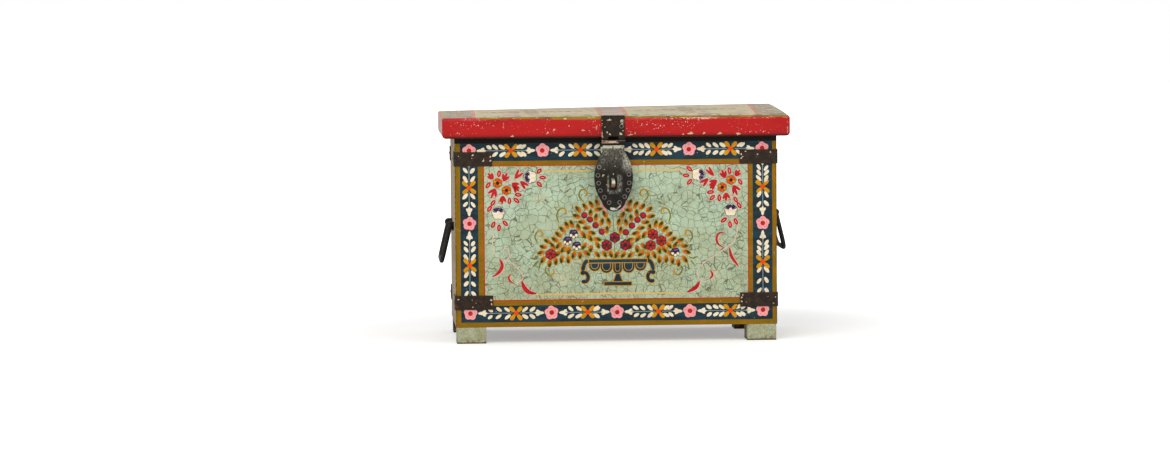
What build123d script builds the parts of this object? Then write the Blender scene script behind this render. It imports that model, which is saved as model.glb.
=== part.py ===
from build123d import *
import math
import os

# A painted wooden keepsake chest with a shallow domed lid, iron corner straps, an iron hasp and two drop handles.
# Millimetres. +X is to the right, +Y to the back, +Z up. The front faces -Y.
# The origin is on the floor, under the middle of the whole object's box.

os.makedirs("parts", exist_ok=True)

# --- Driving dimensions ----------------------------------------------------------------------------------------

# Carcass
body_width = 418.0
body_depth = 200.0
rim_height = 269.0  # floor to the top edge of the walls
board = 11.0  # thickness of the four walls
floor_board = 9.0
board_round = 1.2  # worn outer corners of the front and back boards
foot_height = 21.0
foot_size = 38.0  # four square blocks
foot_inset = 1.2  # in from the sides
foot_round = 1.5

# Lid
lid_front_overhang = 15.0
lid_side_overhang = 16.0
lid_back_overhang = 8.0
lid_lap = 2.8  # how far the front and end mouldings hang below the rim
lid_edge_height = 26.5  # height of the front moulding
lid_lift_left = 2.4  # the hand-planed top is this much higher at the back than at the front, at the left end
lid_lift_right = 8.6  # and at the right end
lid_crown = 1.2  # how far the top swells above a straight slope
stave_thickness = 9.0
stave_count = 3
lid_wall = 11.0  # thickness of the frame that stands on the rim
moulding_round = 2.2  # outer edges of the mouldings
moulding_corner = 5.0  # lower corners of the lid, seen from the front
left_end_round = 2.5  # the top's edge at the left end
right_end_round = 4.0  # and at the more worn right end
lid_gap = 0.3  # running gap between the rim and the closed lid
lap_gap = 0.6  # clearance between the hanging lap and the walls

# Rear butt hinges, let into the rim
hinge_spacing = 250.0
hinge_width = 34.0
hinge_leaf = 1.5
hinge_leaf_depth = 8.0
hinge_barrel_radius = 3.0
hinge_pin_radius = 1.5
hinge_axis_out = 1.0  # the axis lies this far behind the back board
hinge_axis_down = 1.0  # and this far below the rim
hinge_recess_gap = 0.4
knuckle_gap = 0.4  # along every hinge's axis
pin_gap = 0.05  # radial clearance of every pin in its hole

# Hasp
hasp_x = -4.5  # the hasp sits a little left of the middle
strap_width = 30.2
strap_thickness = 1.6
strap_turn = 11.0  # length of the strap's end that is turned over the lid
strap_foot = 1.5  # the strap stops this far above the lid's lower edge
barrel_radius = 2.8
barrel_drop = 5.8  # from the lid's lower edge to the barrel's axis
hasp_pin_radius = 1.2
hasp_knuckle = 13.0  # the middle knuckle
plate_thickness = 1.6
plate_neck_width = 28.6
plate_neck_end = 12.7  # where the neck begins to swell, below the axis
plate_width = 50.0
plate_widest_at = 48.5
plate_length = 89.4  # axis to tip
plate_foot_at = 77.0  # where its round foot begins
plate_foot_width = 31.0
slot_width = 7.8
slot_height = 14.8
slot_at = 53.2  # axis to the middle of the slot
boss_width = 18.0  # raised pad around the slot
boss_height = 23.5
boss_thickness = 0.9
staple_width = 4.4  # across the rod
staple_height = 12.6
staple_rod = 3.6  # in the plane of the bow
staple_tip_gap = 0.6  # between the bow and the hanging plate

# Corner straps
corner_strap_length = 48.5
corner_strap_height = 18.4
corner_strap_thickness = 1.2
corner_leg = 34.0  # the leg that turns round the corner
corner_round = 1.0
corner_top_drop = 39.0  # from the rim down to the lower edge of the upper straps
corner_low_rise = 23.0  # from the feet up to the lower edge of the lower straps
nail_radius = 2.3
nail_proud = 0.8
nail_inset = 8.0

# Drop handles
handle_rod_radius = 3.0
handle_half_span = 45.0  # middle of the handle to the middle of an arm
handle_drop = 48.0
handle_corner = 13.0
handle_lean = 13.5  # degrees out from hanging straight down
handle_pivot_drops = {"left": 119.0, "right": 106.0}  # from the rim down to the pivot line
handle_pivot_out = 5.0
eye_radius = 4.9
eye_width = 4.5
eye_gap = 0.5  # between an eye and the arm beside it
pin_end = 1.5  # the turned-in end reaches this far past its eye
rest_out = 3.0  # the lug that the arm leans on stands this far out
rest_low = 6.2
rest_high = 4.2

# --- Places worked out from them -------------------------------------------------------------------------------

front_y = -(body_depth + lid_back_overhang - lid_front_overhang - 2 * barrel_radius) / 2
back_y = front_y + body_depth
side_x = body_width / 2
lid_x = side_x + lid_side_overhang
lid_front_y = front_y - lid_front_overhang
lid_back_y = back_y + lid_back_overhang
lid_low_z = rim_height - lid_lap
lid_frame_z = rim_height + lid_gap
lid_edge_z = lid_low_z + lid_edge_height
lid_mid_y = (lid_front_y + lid_back_y) / 2
lid_depth = lid_back_y - lid_front_y
crest_z = lid_edge_z + max(lid_lift_left, lid_lift_right) + lid_crown

hinge_y = back_y + hinge_axis_out
hinge_z = rim_height - hinge_axis_down
hasp_y = lid_front_y - barrel_radius
hasp_z = lid_low_z - barrel_drop
plate_back_y = hasp_y + plate_thickness / 2

nodes = {}


# --- Helpers ---------------------------------------------------------------------------------------------------

def block(x0, x1, y0, y1, z0, z1):
    """A box between two opposite corners."""
    box = Box(abs(x1 - x0), abs(y1 - y0), abs(z1 - z0))
    return Pos((x0 + x1) / 2, (y0 + y1) / 2, (z0 + z1) / 2) * box


def rod_x(y, z, radius, x0, x1):
    """A round bar along X."""
    return Pos((x0 + x1) / 2, y, z) * Rot(0, 90, 0) * Cylinder(radius, abs(x1 - x0))


def rod_y(x, z, radius, y0, y1):
    """A round bar along Y."""
    return Pos(x, (y0 + y1) / 2, z) * Rot(90, 0, 0) * Cylinder(radius, abs(y1 - y0))


def eased(solid, radius, axis, side):
    """Round the edges along one axis that lie on the side of the solid where side(edge centre) holds."""
    edges = [edge for edge in solid.edges().filter_by(axis) if side(edge.center())]
    return fillet(edges, radius)


def dome(depth=0.0):
    """All that lies under the lid's curved top, or under a surface that many millimetres deeper.

    Each end is a wide circle through the front top edge and the lifted rear one, and straight lines join the ends.
    """
    ends = []
    for x, lift in ((-lid_x, lid_lift_left), (lid_x, lid_lift_right)):
        half_chord = math.hypot(lid_depth, lift) / 2
        radius = (half_chord ** 2 + lid_crown ** 2) / (2 * lid_crown)
        slope = math.atan2(lift, lid_depth)
        y = lid_mid_y + (radius - lid_crown) * math.sin(slope)
        z = lid_edge_z + lift / 2 - (radius - lid_crown) * math.cos(slope)
        end = Plane(origin=(x, y, z), x_dir=(0, 1, 0), z_dir=(1, 0, 0))
        ends.append(end * Circle(radius - depth))
    return loft(ends, ruled=True)


def worn_dome():
    """The dome with the edge of its top rounded at both ends."""
    worn = dome()
    worn = fillet(worn.edges().sort_by(Axis.X)[0], left_end_round)
    return fillet(worn.edges().sort_by(Axis.X)[-1], right_end_round)


def under_dome(solid, depth=0.0):
    """What of a solid lies under the dome."""
    return solid & dome(depth)


# --- Carcass ---------------------------------------------------------------------------------------------------

def carcass_boards():
    """Front and back boards over the ends of the side boards, with the floor board between all four."""
    front = block(-side_x, side_x, front_y, front_y + board, foot_height, rim_height)
    nodes["front_board"] = eased(front, board_round, Axis.Z, lambda c: c.Y < front_y + board / 2)
    back = block(-side_x, side_x, back_y - board, back_y, foot_height, rim_height)
    back = eased(back, board_round, Axis.Z, lambda c: c.Y > back_y - board / 2)
    for x in hinge_places():
        back -= hinge_recess(x)
        back -= hinge_seat(x, rim_height - hinge_leaf, rim_height)
    nodes["back_board"] = back
    for name, sign in (("left", -1), ("right", 1)):
        nodes[name + "_side_board"] = block(
            sign * (side_x - board), sign * side_x, front_y + board, back_y - board, foot_height, rim_height
        )
    nodes["floor_board"] = block(
        -side_x + board, side_x - board, front_y + board, back_y - board, foot_height, foot_height + floor_board
    )


def feet():
    """Four blocks at the corners of the carcass."""
    outer = side_x - foot_inset
    for end, y0 in (("front", front_y), ("rear", back_y - foot_size)):
        for name, sign in (("left", -1), ("right", 1)):
            foot = block(sign * outer, sign * (outer - foot_size), y0, y0 + foot_size, 0, foot_height)
            nodes[f"{end}_{name}_foot"] = eased(foot, foot_round, Axis.Z, lambda c: True)


def corner_straps():
    """Iron straps bent round the four corners, high and low, each with its nails."""
    levels = (("upper", rim_height - corner_top_drop), ("lower", foot_height + corner_low_rise))
    for level, z0 in levels:
        for end, face_y, out in (("front", front_y, -1), ("rear", back_y, 1)):
            for name, sign in (("left", -1), ("right", 1)):
                key = f"{end}_{name}_{level}_strap"
                nodes[key] = corner_strap(sign, face_y, out, z0)
                nodes[key + "_nails"] = corner_nails(sign, face_y, out, z0)


def corner_strap(sign, face_y, out, z0):
    """One bent strap: a long leg on the front or back and a short leg on the side."""
    z1 = z0 + corner_strap_height
    skin = corner_strap_thickness
    long_leg = block(
        sign * (side_x + skin), sign * (side_x - corner_strap_length), face_y, face_y + out * skin, z0, z1
    )
    short_leg = block(sign * side_x, sign * (side_x + skin), face_y + out * skin, face_y - out * corner_leg, z0, z1)
    strap = long_leg + short_leg
    outer = lambda c: abs(c.X) > side_x + skin / 2 and (c.Y - face_y) * out > skin / 2
    strap = eased(strap, corner_round, Axis.Z, outer)
    fill = block(sign * (side_x - board_round), sign * side_x, face_y - out * board_round, face_y, z0, z1)
    rounded = Pos(sign * (side_x - board_round), face_y - out * board_round, (z0 + z1) / 2)
    return strap + (fill - rounded * Cylinder(board_round, corner_strap_height))


def corner_nails(sign, face_y, out, z0):
    """Low round nail heads: three on the long leg and two on the short one."""
    z = z0 + corner_strap_height / 2
    skin = corner_strap_thickness
    step = (corner_strap_length - 2 * nail_inset) / 2
    heads = [
        nail_head().moved(Location((sign * (side_x - nail_inset - i * step), face_y + out * skin, z), (-90 * out, 0, 0)))
        for i in range(3)
    ]
    for inset in (nail_inset, corner_leg - nail_inset):
        place = Location((sign * (side_x + skin), face_y - out * inset, z), (0, 90 * sign, 0))
        heads.append(nail_head().moved(place))
    return Compound(heads)


def nail_head():
    """A shallow domed head whose flat side lies on XY."""
    radius = (nail_radius ** 2 + nail_proud ** 2) / (2 * nail_proud)
    ball = Pos(0, 0, nail_proud - radius) * Sphere(radius)
    return (ball & Pos(0, 0, nail_proud / 2) * Cylinder(nail_radius + 1, nail_proud)).solid()


# --- Rear hinges -----------------------------------------------------------------------------------------------

def hinge_places():
    """The middle of each rear hinge along X."""
    return (-hinge_spacing / 2, hinge_spacing / 2)


def hinge_recess(x):
    """The round clearance for a hinge's barrel in the boards around it."""
    half = hinge_width / 2 + hinge_recess_gap
    return rod_x(hinge_y, hinge_z, hinge_barrel_radius + hinge_recess_gap, x - half, x + half)


def hinge_seat(x, z0, z1):
    """The shallow mortise that a leaf lies in."""
    return block(x - hinge_width / 2, x + hinge_width / 2, back_y - hinge_leaf_depth, lid_back_y + 1, z0, z1)


def rear_hinges():
    """Two butt hinges: the carcass leaf has the outer knuckles, the lid leaf the middle one."""
    third = hinge_width / 3
    for name, x in zip(("left", "right"), hinge_places()):
        low = (rim_height - hinge_leaf, rim_height)
        high = (lid_frame_z, lid_frame_z + hinge_leaf)
        outer = [(x - hinge_width / 2, x - third / 2 - knuckle_gap), (x + third / 2 + knuckle_gap, x + hinge_width / 2)]
        nodes[f"{name}_hinge_carcass_leaf"] = hinge_half(x, low, outer)
        nodes[f"{name}_hinge_lid_leaf"] = hinge_half(x, high, [(x - third / 2, x + third / 2)])
        nodes[f"{name}_hinge_pin"] = rod_x(
            hinge_y, hinge_z, hinge_pin_radius, x - hinge_width / 2, x + hinge_width / 2
        )


def hinge_half(x, levels, knuckles):
    """A flat leaf with its knuckles, bored for the pin."""
    z0, z1 = levels
    plate_end = hinge_y - hinge_barrel_radius - hinge_recess_gap
    half = block(x - hinge_width / 2, x + hinge_width / 2, back_y - hinge_leaf_depth, plate_end, z0, z1)
    for x0, x1 in knuckles:
        half += block(x0, x1, plate_end - 1, hinge_y, z0, z1)
        half += rod_x(hinge_y, hinge_z, hinge_barrel_radius, x0, x1)
    return half - rod_x(hinge_y, hinge_z, hinge_pin_radius + pin_gap, x - hinge_width, x + hinge_width)


# --- Lid -------------------------------------------------------------------------------------------------------

def lid_frame():
    """Four walls that stand on the rim and carry the staves."""
    z0, z1 = lid_frame_z, crest_z
    front = block(-side_x, side_x, front_y, front_y + lid_wall, z0, z1)
    nodes["lid_front_wall"] = under_dome(front, stave_thickness)
    back = block(-side_x, side_x, back_y - lid_wall, back_y, z0, z1)
    nodes["lid_back_wall"] = without_hinges(under_dome(back, stave_thickness))
    for name, sign in (("left", -1), ("right", 1)):
        end = block(sign * (side_x - lid_wall), sign * side_x, front_y + lid_wall, back_y - lid_wall, z0, z1)
        nodes[f"lid_{name}_wall"] = under_dome(end, stave_thickness)


def without_hinges(solid):
    """Cut the rear hinges' recesses and mortises out of a piece of the lid."""
    for x in hinge_places():
        solid -= hinge_recess(x)
        solid -= hinge_seat(x, lid_frame_z - 1, lid_frame_z + hinge_leaf)
    return solid


def lid_mouldings():
    """The edging: the front and end pieces hang over the rim, and the rear one stops at it."""
    front = block(-lid_x, lid_x, lid_front_y, front_y, lid_low_z, crest_z)
    front -= block(-side_x - lap_gap, side_x + lap_gap, front_y - lap_gap, front_y, lid_low_z, lid_frame_z)
    front = under_dome(eased(front, moulding_corner, Axis.Y, lower_corner))
    front = fillet(front.faces().sort_by(Axis.Y)[0].edges(), moulding_round)
    nodes["lid_front_moulding"] = front & worn_dome()
    for name, sign in (("left", -1), ("right", 1)):
        end = block(sign * side_x, sign * lid_x, front_y, lid_back_y, lid_low_z, crest_z)
        end -= block(sign * side_x, sign * (side_x + lap_gap), front_y, lid_back_y, lid_low_z, lid_frame_z)
        end = eased(end, moulding_corner, Axis.Y, lower_corner) & worn_dome()
        nodes[f"lid_{name}_moulding"] = eased(end, moulding_round, Axis.Z, on_rear_corner)
    back = under_dome(block(-side_x, side_x, back_y, lid_back_y, lid_frame_z, crest_z))
    nodes["lid_back_moulding"] = without_hinges(back)


def lower_corner(centre):
    """Whether an edge along Y is a lower outer edge of the lid's ends."""
    return centre.Z < lid_low_z + 1 and at_lid_end(centre)


def on_rear_corner(centre):
    """Whether an upright edge is one of the lid's rear corners."""
    return centre.Y > lid_back_y - 1 and at_lid_end(centre)


def at_lid_end(centre):
    """Whether a place is at one of the lid's two ends."""
    return abs(centre.X) > lid_x - 1


def lid_staves():
    """Bent boards side by side that make the domed top."""
    width = body_depth / stave_count
    for i in range(stave_count):
        y0 = front_y + i * width
        stave = under_dome(block(-side_x, side_x, y0, y0 + width, lid_frame_z, crest_z))
        nodes[f"lid_stave_{i + 1}"] = stave - dome(stave_thickness)


# --- Hasp ------------------------------------------------------------------------------------------------------

def hasp_block(half, y0, y1, z0, z1):
    """A box across the hasp, that far to each side of its middle."""
    return block(hasp_x - half, hasp_x + half, y0, y1, z0, z1)


def hasp_rod(radius, x0, x1):
    """A round bar on the hasp's own axis, between two places beside its middle."""
    return rod_x(hasp_y, hasp_z, radius, hasp_x + x0, hasp_x + x1)


def hasp_strap():
    """The strap on the lid's edge, turned over at the top, with the two outer knuckles below."""
    half = strap_width / 2
    foot_z = lid_low_z + strap_foot
    top = lid_edge_z + strap_turn
    leg = hasp_block(half, lid_front_y - strap_thickness, lid_front_y, foot_z, top)
    turn = hasp_block(half, lid_front_y, lid_front_y + strap_turn, foot_z, top) - dome()
    strap = (leg + turn) & dome(-strap_thickness)
    ends = [(-half, -hasp_knuckle / 2 - knuckle_gap), (hasp_knuckle / 2 + knuckle_gap, half)]
    for x0, x1 in ends:
        strap += block(hasp_x + x0, hasp_x + x1, lid_front_y - strap_thickness, lid_front_y, hasp_z, foot_z + 1)
        strap += hasp_rod(barrel_radius, x0, x1)
    nodes["hasp_strap"] = strap - hasp_rod(hasp_pin_radius + pin_gap, -half - 1, half + 1)
    nodes["hasp_pin"] = hasp_rod(hasp_pin_radius, -half, half)


def plate_outline():
    """The plate's edge in its own plane, with the barrel's axis at the origin."""
    neck = plate_neck_width / 2
    shoulder = barrel_radius + pin_gap + knuckle_gap
    foot = (plate_foot_width / 2, -plate_foot_at)
    half = [
        Line((0, -shoulder), (neck, -shoulder)),
        Line((neck, -shoulder), (neck, -plate_neck_end)),
        ThreePointArc((neck, -plate_neck_end), (plate_width / 2, -plate_widest_at), foot),
        TangentArc((0, -plate_length), foot, tangent=(1, 0)),
    ]
    return half + [edge.mirror(Plane.YZ) for edge in half]


def hasp_plate():
    """The hanging plate: a neck that swells to an oval, a raised pad and a slot."""
    pad_y = plate_back_y - plate_thickness
    front = Plane(origin=(hasp_x, pad_y, hasp_z), x_dir=(1, 0, 0), z_dir=(0, -1, 0))
    plate = extrude(front * make_face(plate_outline()), -plate_thickness)
    slot_z = hasp_z - slot_at
    boss = hasp_block(
        boss_width / 2, pad_y - boss_thickness, pad_y, slot_z - boss_height / 2, slot_z + boss_height / 2
    )
    plate += chamfer(boss.faces().sort_by(Axis.Y)[0].edges(), boss_thickness * 0.7)
    plate -= hasp_block(
        slot_width / 2, pad_y - 5, plate_back_y + 5, slot_z - slot_height / 2, slot_z + slot_height / 2
    )
    half = hasp_knuckle / 2
    plate += hasp_block(half, pad_y, plate_back_y, hasp_z - barrel_radius - 1, hasp_z)
    plate += hasp_rod(barrel_radius, -half, half)
    nodes["hasp_plate"] = plate - hasp_rod(hasp_pin_radius + pin_gap, -half - 1, half + 1)


def hasp_staple():
    """The bow on the front board that the plate's slot goes over."""
    z = hasp_z - slot_at
    tip = plate_back_y + staple_tip_gap
    outer = staple_height / 2
    inner = outer - staple_rod
    half = staple_width / 2
    bow = hasp_block(half, tip + outer, front_y, z - outer, z + outer)
    bow += rod_x(tip + outer, z, outer, hasp_x - half, hasp_x + half)
    eye = hasp_block(staple_width, tip + outer, front_y, z - inner, z + inner)
    eye += rod_x(tip + outer, z, inner, hasp_x - staple_width, hasp_x + staple_width)
    nodes["hasp_staple"] = bow - eye


# --- Drop handles ----------------------------------------------------------------------------------------------

def handles():
    """Two bails in pairs of eyes, at mid-depth of the sides."""
    mid_y = (front_y + back_y) / 2
    for name, sign in (("left", -1), ("right", 1)):
        pivot_z = rim_height - handle_pivot_drops[name]
        place = Location((sign * (side_x + handle_pivot_out), mid_y, pivot_z))
        nodes[f"{name}_handle"] = handle(sign).moved(place)
        for end, out in (("front", -1), ("rear", 1)):
            nodes[f"{name}_{end}_eye"] = handle_eye(sign, out, mid_y, pivot_z)


def handle(sign):
    """A bail about its own pivot line: two arms, a grip and two turned-in ends."""
    span = handle_half_span
    low = -handle_drop
    path = FilletPolyline((0, -span, 0), (0, -span, low), (0, span, low), (0, span, 0), radius=handle_corner)
    section = Plane(origin=(0, -span, 0), z_dir=(0, 0, -1)) * Circle(handle_rod_radius)
    bail = sweep(section, path)
    inner = span - handle_rod_radius - eye_gap - eye_width - pin_end
    for out in (-1, 1):
        bail += Pos(0, out * span, 0) * Sphere(handle_rod_radius)
        bail += rod_y(0, 0, handle_rod_radius, out * inner, out * span)
    return bail.rotate(Axis.Y, -sign * handle_lean)


def handle_eye(sign, out, mid_y, z):
    """An eye on the side board, with a lug below it that the handle's arm leans on."""
    y1 = mid_y + out * (handle_half_span - handle_rod_radius - eye_gap)
    y0 = y1 - out * eye_width
    pivot_x = sign * (side_x + handle_pivot_out)
    eye = block(sign * side_x, pivot_x, y0, y1, z - eye_radius, z + eye_radius)
    eye += rod_y(pivot_x, z, eye_radius, y0, y1)
    arm_y = mid_y + out * (handle_half_span + handle_rod_radius / 2)
    eye += block(sign * side_x, sign * (side_x + rest_out), y0, arm_y, z - rest_low, z - rest_high)
    return eye - rod_y(pivot_x, z, handle_rod_radius + pin_gap, y0 - out, y1 + out)


carcass_boards()
feet()
corner_straps()
rear_hinges()
lid_frame()
lid_mouldings()
lid_staves()
hasp_strap()
hasp_plate()
hasp_staple()
handles()

for name, shape in nodes.items():
    export_step(shape, f"parts/{name}.step")
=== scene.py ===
"""The looks of a painted wooden keepsake chest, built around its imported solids.

Lengths in the drawing classes are millimetres of the real chest, and MM turns them to metres.
X runs to the right, Y to the back and Z up. The painted front faces -Y.
"""
import logging
import math
import random
from dataclasses import dataclass, field
from enum import Enum
from typing import Callable, Iterable, Sequence

import bmesh
import bpy
from mathutils import Matrix, Vector, noise
from mathutils.bvhtree import BVHTree


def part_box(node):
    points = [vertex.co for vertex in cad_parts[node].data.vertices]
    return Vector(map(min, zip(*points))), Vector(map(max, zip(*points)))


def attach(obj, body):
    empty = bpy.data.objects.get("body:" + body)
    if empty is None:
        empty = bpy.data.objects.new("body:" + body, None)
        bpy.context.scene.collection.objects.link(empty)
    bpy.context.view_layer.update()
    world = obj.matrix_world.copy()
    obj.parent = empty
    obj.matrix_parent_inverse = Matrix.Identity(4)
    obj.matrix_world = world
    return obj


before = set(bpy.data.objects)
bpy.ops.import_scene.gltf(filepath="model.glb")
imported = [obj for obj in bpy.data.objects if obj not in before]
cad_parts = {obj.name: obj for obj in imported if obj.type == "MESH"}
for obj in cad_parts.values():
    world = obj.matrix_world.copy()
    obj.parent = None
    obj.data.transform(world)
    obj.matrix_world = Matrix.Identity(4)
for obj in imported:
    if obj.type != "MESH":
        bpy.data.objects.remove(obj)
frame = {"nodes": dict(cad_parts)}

MM = 0.001
HAND_SEED = 1  # without it the painter's hand would tremble differently in each run
log = logging.getLogger("chest")

Point = tuple[float, float]
Points = tuple[Point, ...]
Triple = tuple[float, float, float]
Fleck = tuple[float, float, float, float, float]  # x, z, turn in degrees, length and width
Socket = bpy.types.NodeSocket


def linear(colour: str) -> tuple[float, float, float, float]:
    """Turn an sRGB hex colour to the linear one that shaders take.

    Args:
        colour: Six hex digits after a hash sign.

    Returns:
        Red, green, blue and a full alpha.
    """
    parts = [int(colour[i:i + 2], 16) / 255 for i in (1, 3, 5)]
    red, green, blue = (c / 12.92 if c <= 0.04045 else ((c + 0.055) / 1.055) ** 2.4 for c in parts)
    return red, green, blue, 1.0


# --- Where the solids are ---

def span(node: str) -> tuple[Vector, Vector]:
    """The lowest and highest corners of a solid, in millimetres."""
    low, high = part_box(node)
    return low / MM, high / MM


FRONT_Y = span("front_board")[0].y
BACK_Y = span("back_board")[1].y
SIDE_X = span("front_board")[1].x
RIM_Z = span("front_board")[1].z
LID_X = span("lid_right_moulding")[1].x
LID_FRONT_Y = span("lid_front_moulding")[0].y
LID_BACK_Y = span("lid_back_moulding")[1].y
LID_LOW_Z = span("lid_front_moulding")[0].z
HASP_X = (span("hasp_plate")[0].x + span("hasp_plate")[1].x) / 2
HASP_BARREL = 2.8  # radius of the hasp's knuckles
HASP_AXIS_Z = span("hasp_plate")[1].z - HASP_BARREL
SLOT_Z = (span("hasp_staple")[0].z + span("hasp_staple")[1].z) / 2
PANEL_SLIDE = 1.3  # how far the painter's drawing inside the panel sits to the right
HASP_FACE_Y = span("hasp_plate")[0].y + 2.0  # face of its plate, behind the front of its knuckle


# --- Shader work ---

class Wiring:
    """A tree of shader nodes in the making."""

    def __init__(self, tree: bpy.types.NodeTree) -> None:
        """Start with no nodes."""
        self.tree = tree
        tree.nodes.clear()

    def add(self, kind: str, inputs: dict | None = None, **settings: object) -> bpy.types.Node:
        """Add a node with its settings and links.

        Args:
            kind: The node's type.
            inputs: Values, or sockets or masks to link, by input name or number.
            settings: Properties of the node.

        Returns:
            The new node.
        """
        node = self.tree.nodes.new(kind)
        for key, value in settings.items():
            setattr(node, key, value)
        for key, value in (inputs or {}).items():
            source = value.socket if isinstance(value, Mask) else value
            if isinstance(source, Socket):
                self.tree.links.new(source, node.inputs[key])
            else:
                node.inputs[key].default_value = source
        return node


class Mask:
    """A number that the shader works out at each point. Arithmetic on it adds Math nodes."""

    def __init__(self, wiring: Wiring, socket: Socket) -> None:
        """Take up a socket of a tree."""
        self.wiring, self.socket = wiring, socket

    def step(self, operation: str, *terms: "Term") -> "Mask":
        """The result of one arithmetic step."""
        node = self.wiring.add("ShaderNodeMath", dict(enumerate(terms)), operation=operation)
        return Mask(self.wiring, node.outputs[0])

    def __mul__(self, other: "Term") -> "Mask":
        """This times another."""
        return self.step("MULTIPLY", self, other)

    def __truediv__(self, other: "Term") -> "Mask":
        """This divided by another."""
        return self.step("DIVIDE", self, other)

    def __add__(self, other: "Term") -> "Mask":
        """This and another together."""
        return self.step("ADD", self, other)

    def __sub__(self, other: "Term") -> "Mask":
        """This less another."""
        return self.step("SUBTRACT", self, other)

    def __rsub__(self, other: float) -> "Mask":
        """A number less this."""
        return self.step("SUBTRACT", other, self)

    def __or__(self, other: "Term") -> "Mask":
        """The greater of this and another."""
        return self.step("MAXIMUM", self, other)

    def __ror__(self, other: float) -> "Mask":
        """The greater of a number and this."""
        return self.step("MAXIMUM", other, self)

    def __abs__(self) -> "Mask":
        """This without its sign."""
        return self.step("ABSOLUTE", self)


Term = Mask | Socket | float


class Coat(Wiring):
    """One material in the making, with patterns laid out in the chest's own millimetres."""

    FACTOR, UNDER, OVER, MIXED = 0, 6, 7, 2  # sockets of a Mix node set to colours

    def __init__(self, name: str) -> None:
        """Start an empty material.

        Args:
            name: The common name of the material and how its surface was made.
        """
        self.material = bpy.data.materials.new(name)
        self.material.use_nodes = True
        super().__init__(self.material.node_tree)
        place = self.add("ShaderNodeTexCoord")
        self.place = place.outputs["Object"]
        self.facing = place.outputs["Normal"]
        self.apart = self.add("ShaderNodeSeparateXYZ", {"Vector": self.place})

    def ramp(self, value: Term, low: float, high: float, top: float = 1.0) -> Mask:
        """A mask that rises smoothly from 0 to top as the value goes from low to high."""
        inputs = {"Value": value, "From Min": low, "From Max": high, "To Max": top}
        return Mask(self, self.add("ShaderNodeMapRange", inputs, interpolation_type="SMOOTHSTEP").outputs[0])

    def axis(self, name: str) -> Mask:
        """The X, Y or Z place of the shaded point, in millimetres."""
        return Mask(self, self.apart.outputs[name]) / MM

    def away(self, x: float, z: float) -> Mask:
        """Distance from a place on the front's face, in millimetres.

        Args:
            x: The place across the front, in millimetres.
            z: Its height.

        Returns:
            The mask.
        """
        inputs = {0: self.place, 1: (x * MM, FRONT_Y * MM, z * MM)}
        node = self.add("ShaderNodeVectorMath", inputs, operation="DISTANCE")
        return Mask(self, node.outputs["Value"]) / MM

    def stretched(self, stretch: Sequence[float], shift: float = 0.0) -> Socket:
        """Object coordinates squeezed along each axis, and moved to another part of the noise."""
        inputs = {"Vector": self.place, "Scale": tuple(1 / s for s in stretch), "Location": (shift,) * 3}
        return self.add("ShaderNodeMapping", inputs).outputs[0]

    def cloud(self, size: float, low: float, high: float, stretch: Sequence[float] = (1, 1, 1),
              shift: float = 0.0, detail: float = 4.0) -> Mask:
        """A soft patchy mask.

        Args:
            size: Width of a patch.
            low: Noise level at which the mask is 0.
            high: Noise level at which it is 1.
            stretch: How many times longer a patch is along each axis.
            shift: Offset that makes this mask differ from others.
            detail: How ragged its edges are.

        Returns:
            The mask.
        """
        inputs = {"Vector": self.stretched(stretch, shift), "Scale": 1 / (size * MM), "Detail": detail}
        return self.ramp(self.add("ShaderNodeTexNoise", inputs, normalize=True).outputs[0], low, high)

    def bent(self, size: float, reach: float, shift: float = 0.0) -> Socket:
        """Object coordinates pushed about, so that a pattern on them looks handmade.

        Args:
            size: Width of a bend.
            reach: How far a place is pushed.
            shift: Offset that makes these bends differ from others.

        Returns:
            The bent coordinates.
        """
        inputs = {"Vector": self.stretched((1, 1, 1), shift), "Scale": 1 / (size * MM), "Detail": 2.0}
        drift = self.add("ShaderNodeTexNoise", inputs).outputs["Color"]
        centred = self.add("ShaderNodeVectorMath", {0: drift, 1: (0.5,) * 3}, operation="SUBTRACT").outputs[0]
        inputs = {0: centred, 1: (2 * reach * MM,) * 3, 2: self.place}
        return self.add("ShaderNodeVectorMath", inputs, operation="MULTIPLY_ADD").outputs[0]

    def crackle(self, cell: float, width: float, shift: float = 0.0, bend: float = 0.18) -> Mask:
        """A web of drying cracks.

        Args:
            cell: Distance between cracks.
            width: Width of a crack.
            shift: Offset that makes this web differ from others.
            bend: How crooked they are, as a part of that distance.

        Returns:
            A mask that is 1 along the cracks.
        """
        inputs = {"Vector": self.bent(cell * 1.2, cell * bend, shift), "Scale": 1 / (cell * MM),
                  "Randomness": 0.82}
        web = self.add("ShaderNodeTexVoronoi", inputs, feature="DISTANCE_TO_EDGE").outputs["Distance"]
        return 1.0 - self.ramp(web, width / cell * 0.3, width / cell * 0.75)

    def flecks(self, spacing: float, radius: float, share: float, shift: float = 0.0) -> Mask:
        """Small ragged losses in a film of paint.

        Args:
            spacing: Distance between the places where a fleck may be.
            radius: Radius of the largest fleck.
            share: How many of the places have one, from 0 to 1.
            shift: Offset that makes these flecks differ from others.

        Returns:
            A mask that is 1 in the flecks.
        """
        inputs = {"Vector": self.bent(radius * 2.5, radius * 0.9, shift), "Scale": 1 / (spacing * MM)}
        cells = self.add("ShaderNodeTexVoronoi", inputs)
        chance = self.add("ShaderNodeSeparateColor", {0: cells.outputs["Color"]}).outputs[0]
        size = self.ramp(chance, 1 - share, 1.0, top=radius / spacing)
        left = size - cells.outputs["Distance"]
        return self.ramp(left, 0.0, 0.25 * radius / spacing)

    def within(self, axis: str, low: float, high: float, soft: float = 0.4) -> Mask:
        """A mask for a slab of space.

        Args:
            axis: X, Y or Z.
            low: Where it begins, or minus infinity.
            high: Where it ends, or infinity.
            soft: Width of its edges.

        Returns:
            A mask that is 1 between the two places.
        """
        return self.slab(self.axis(axis), low, high, soft)

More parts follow.
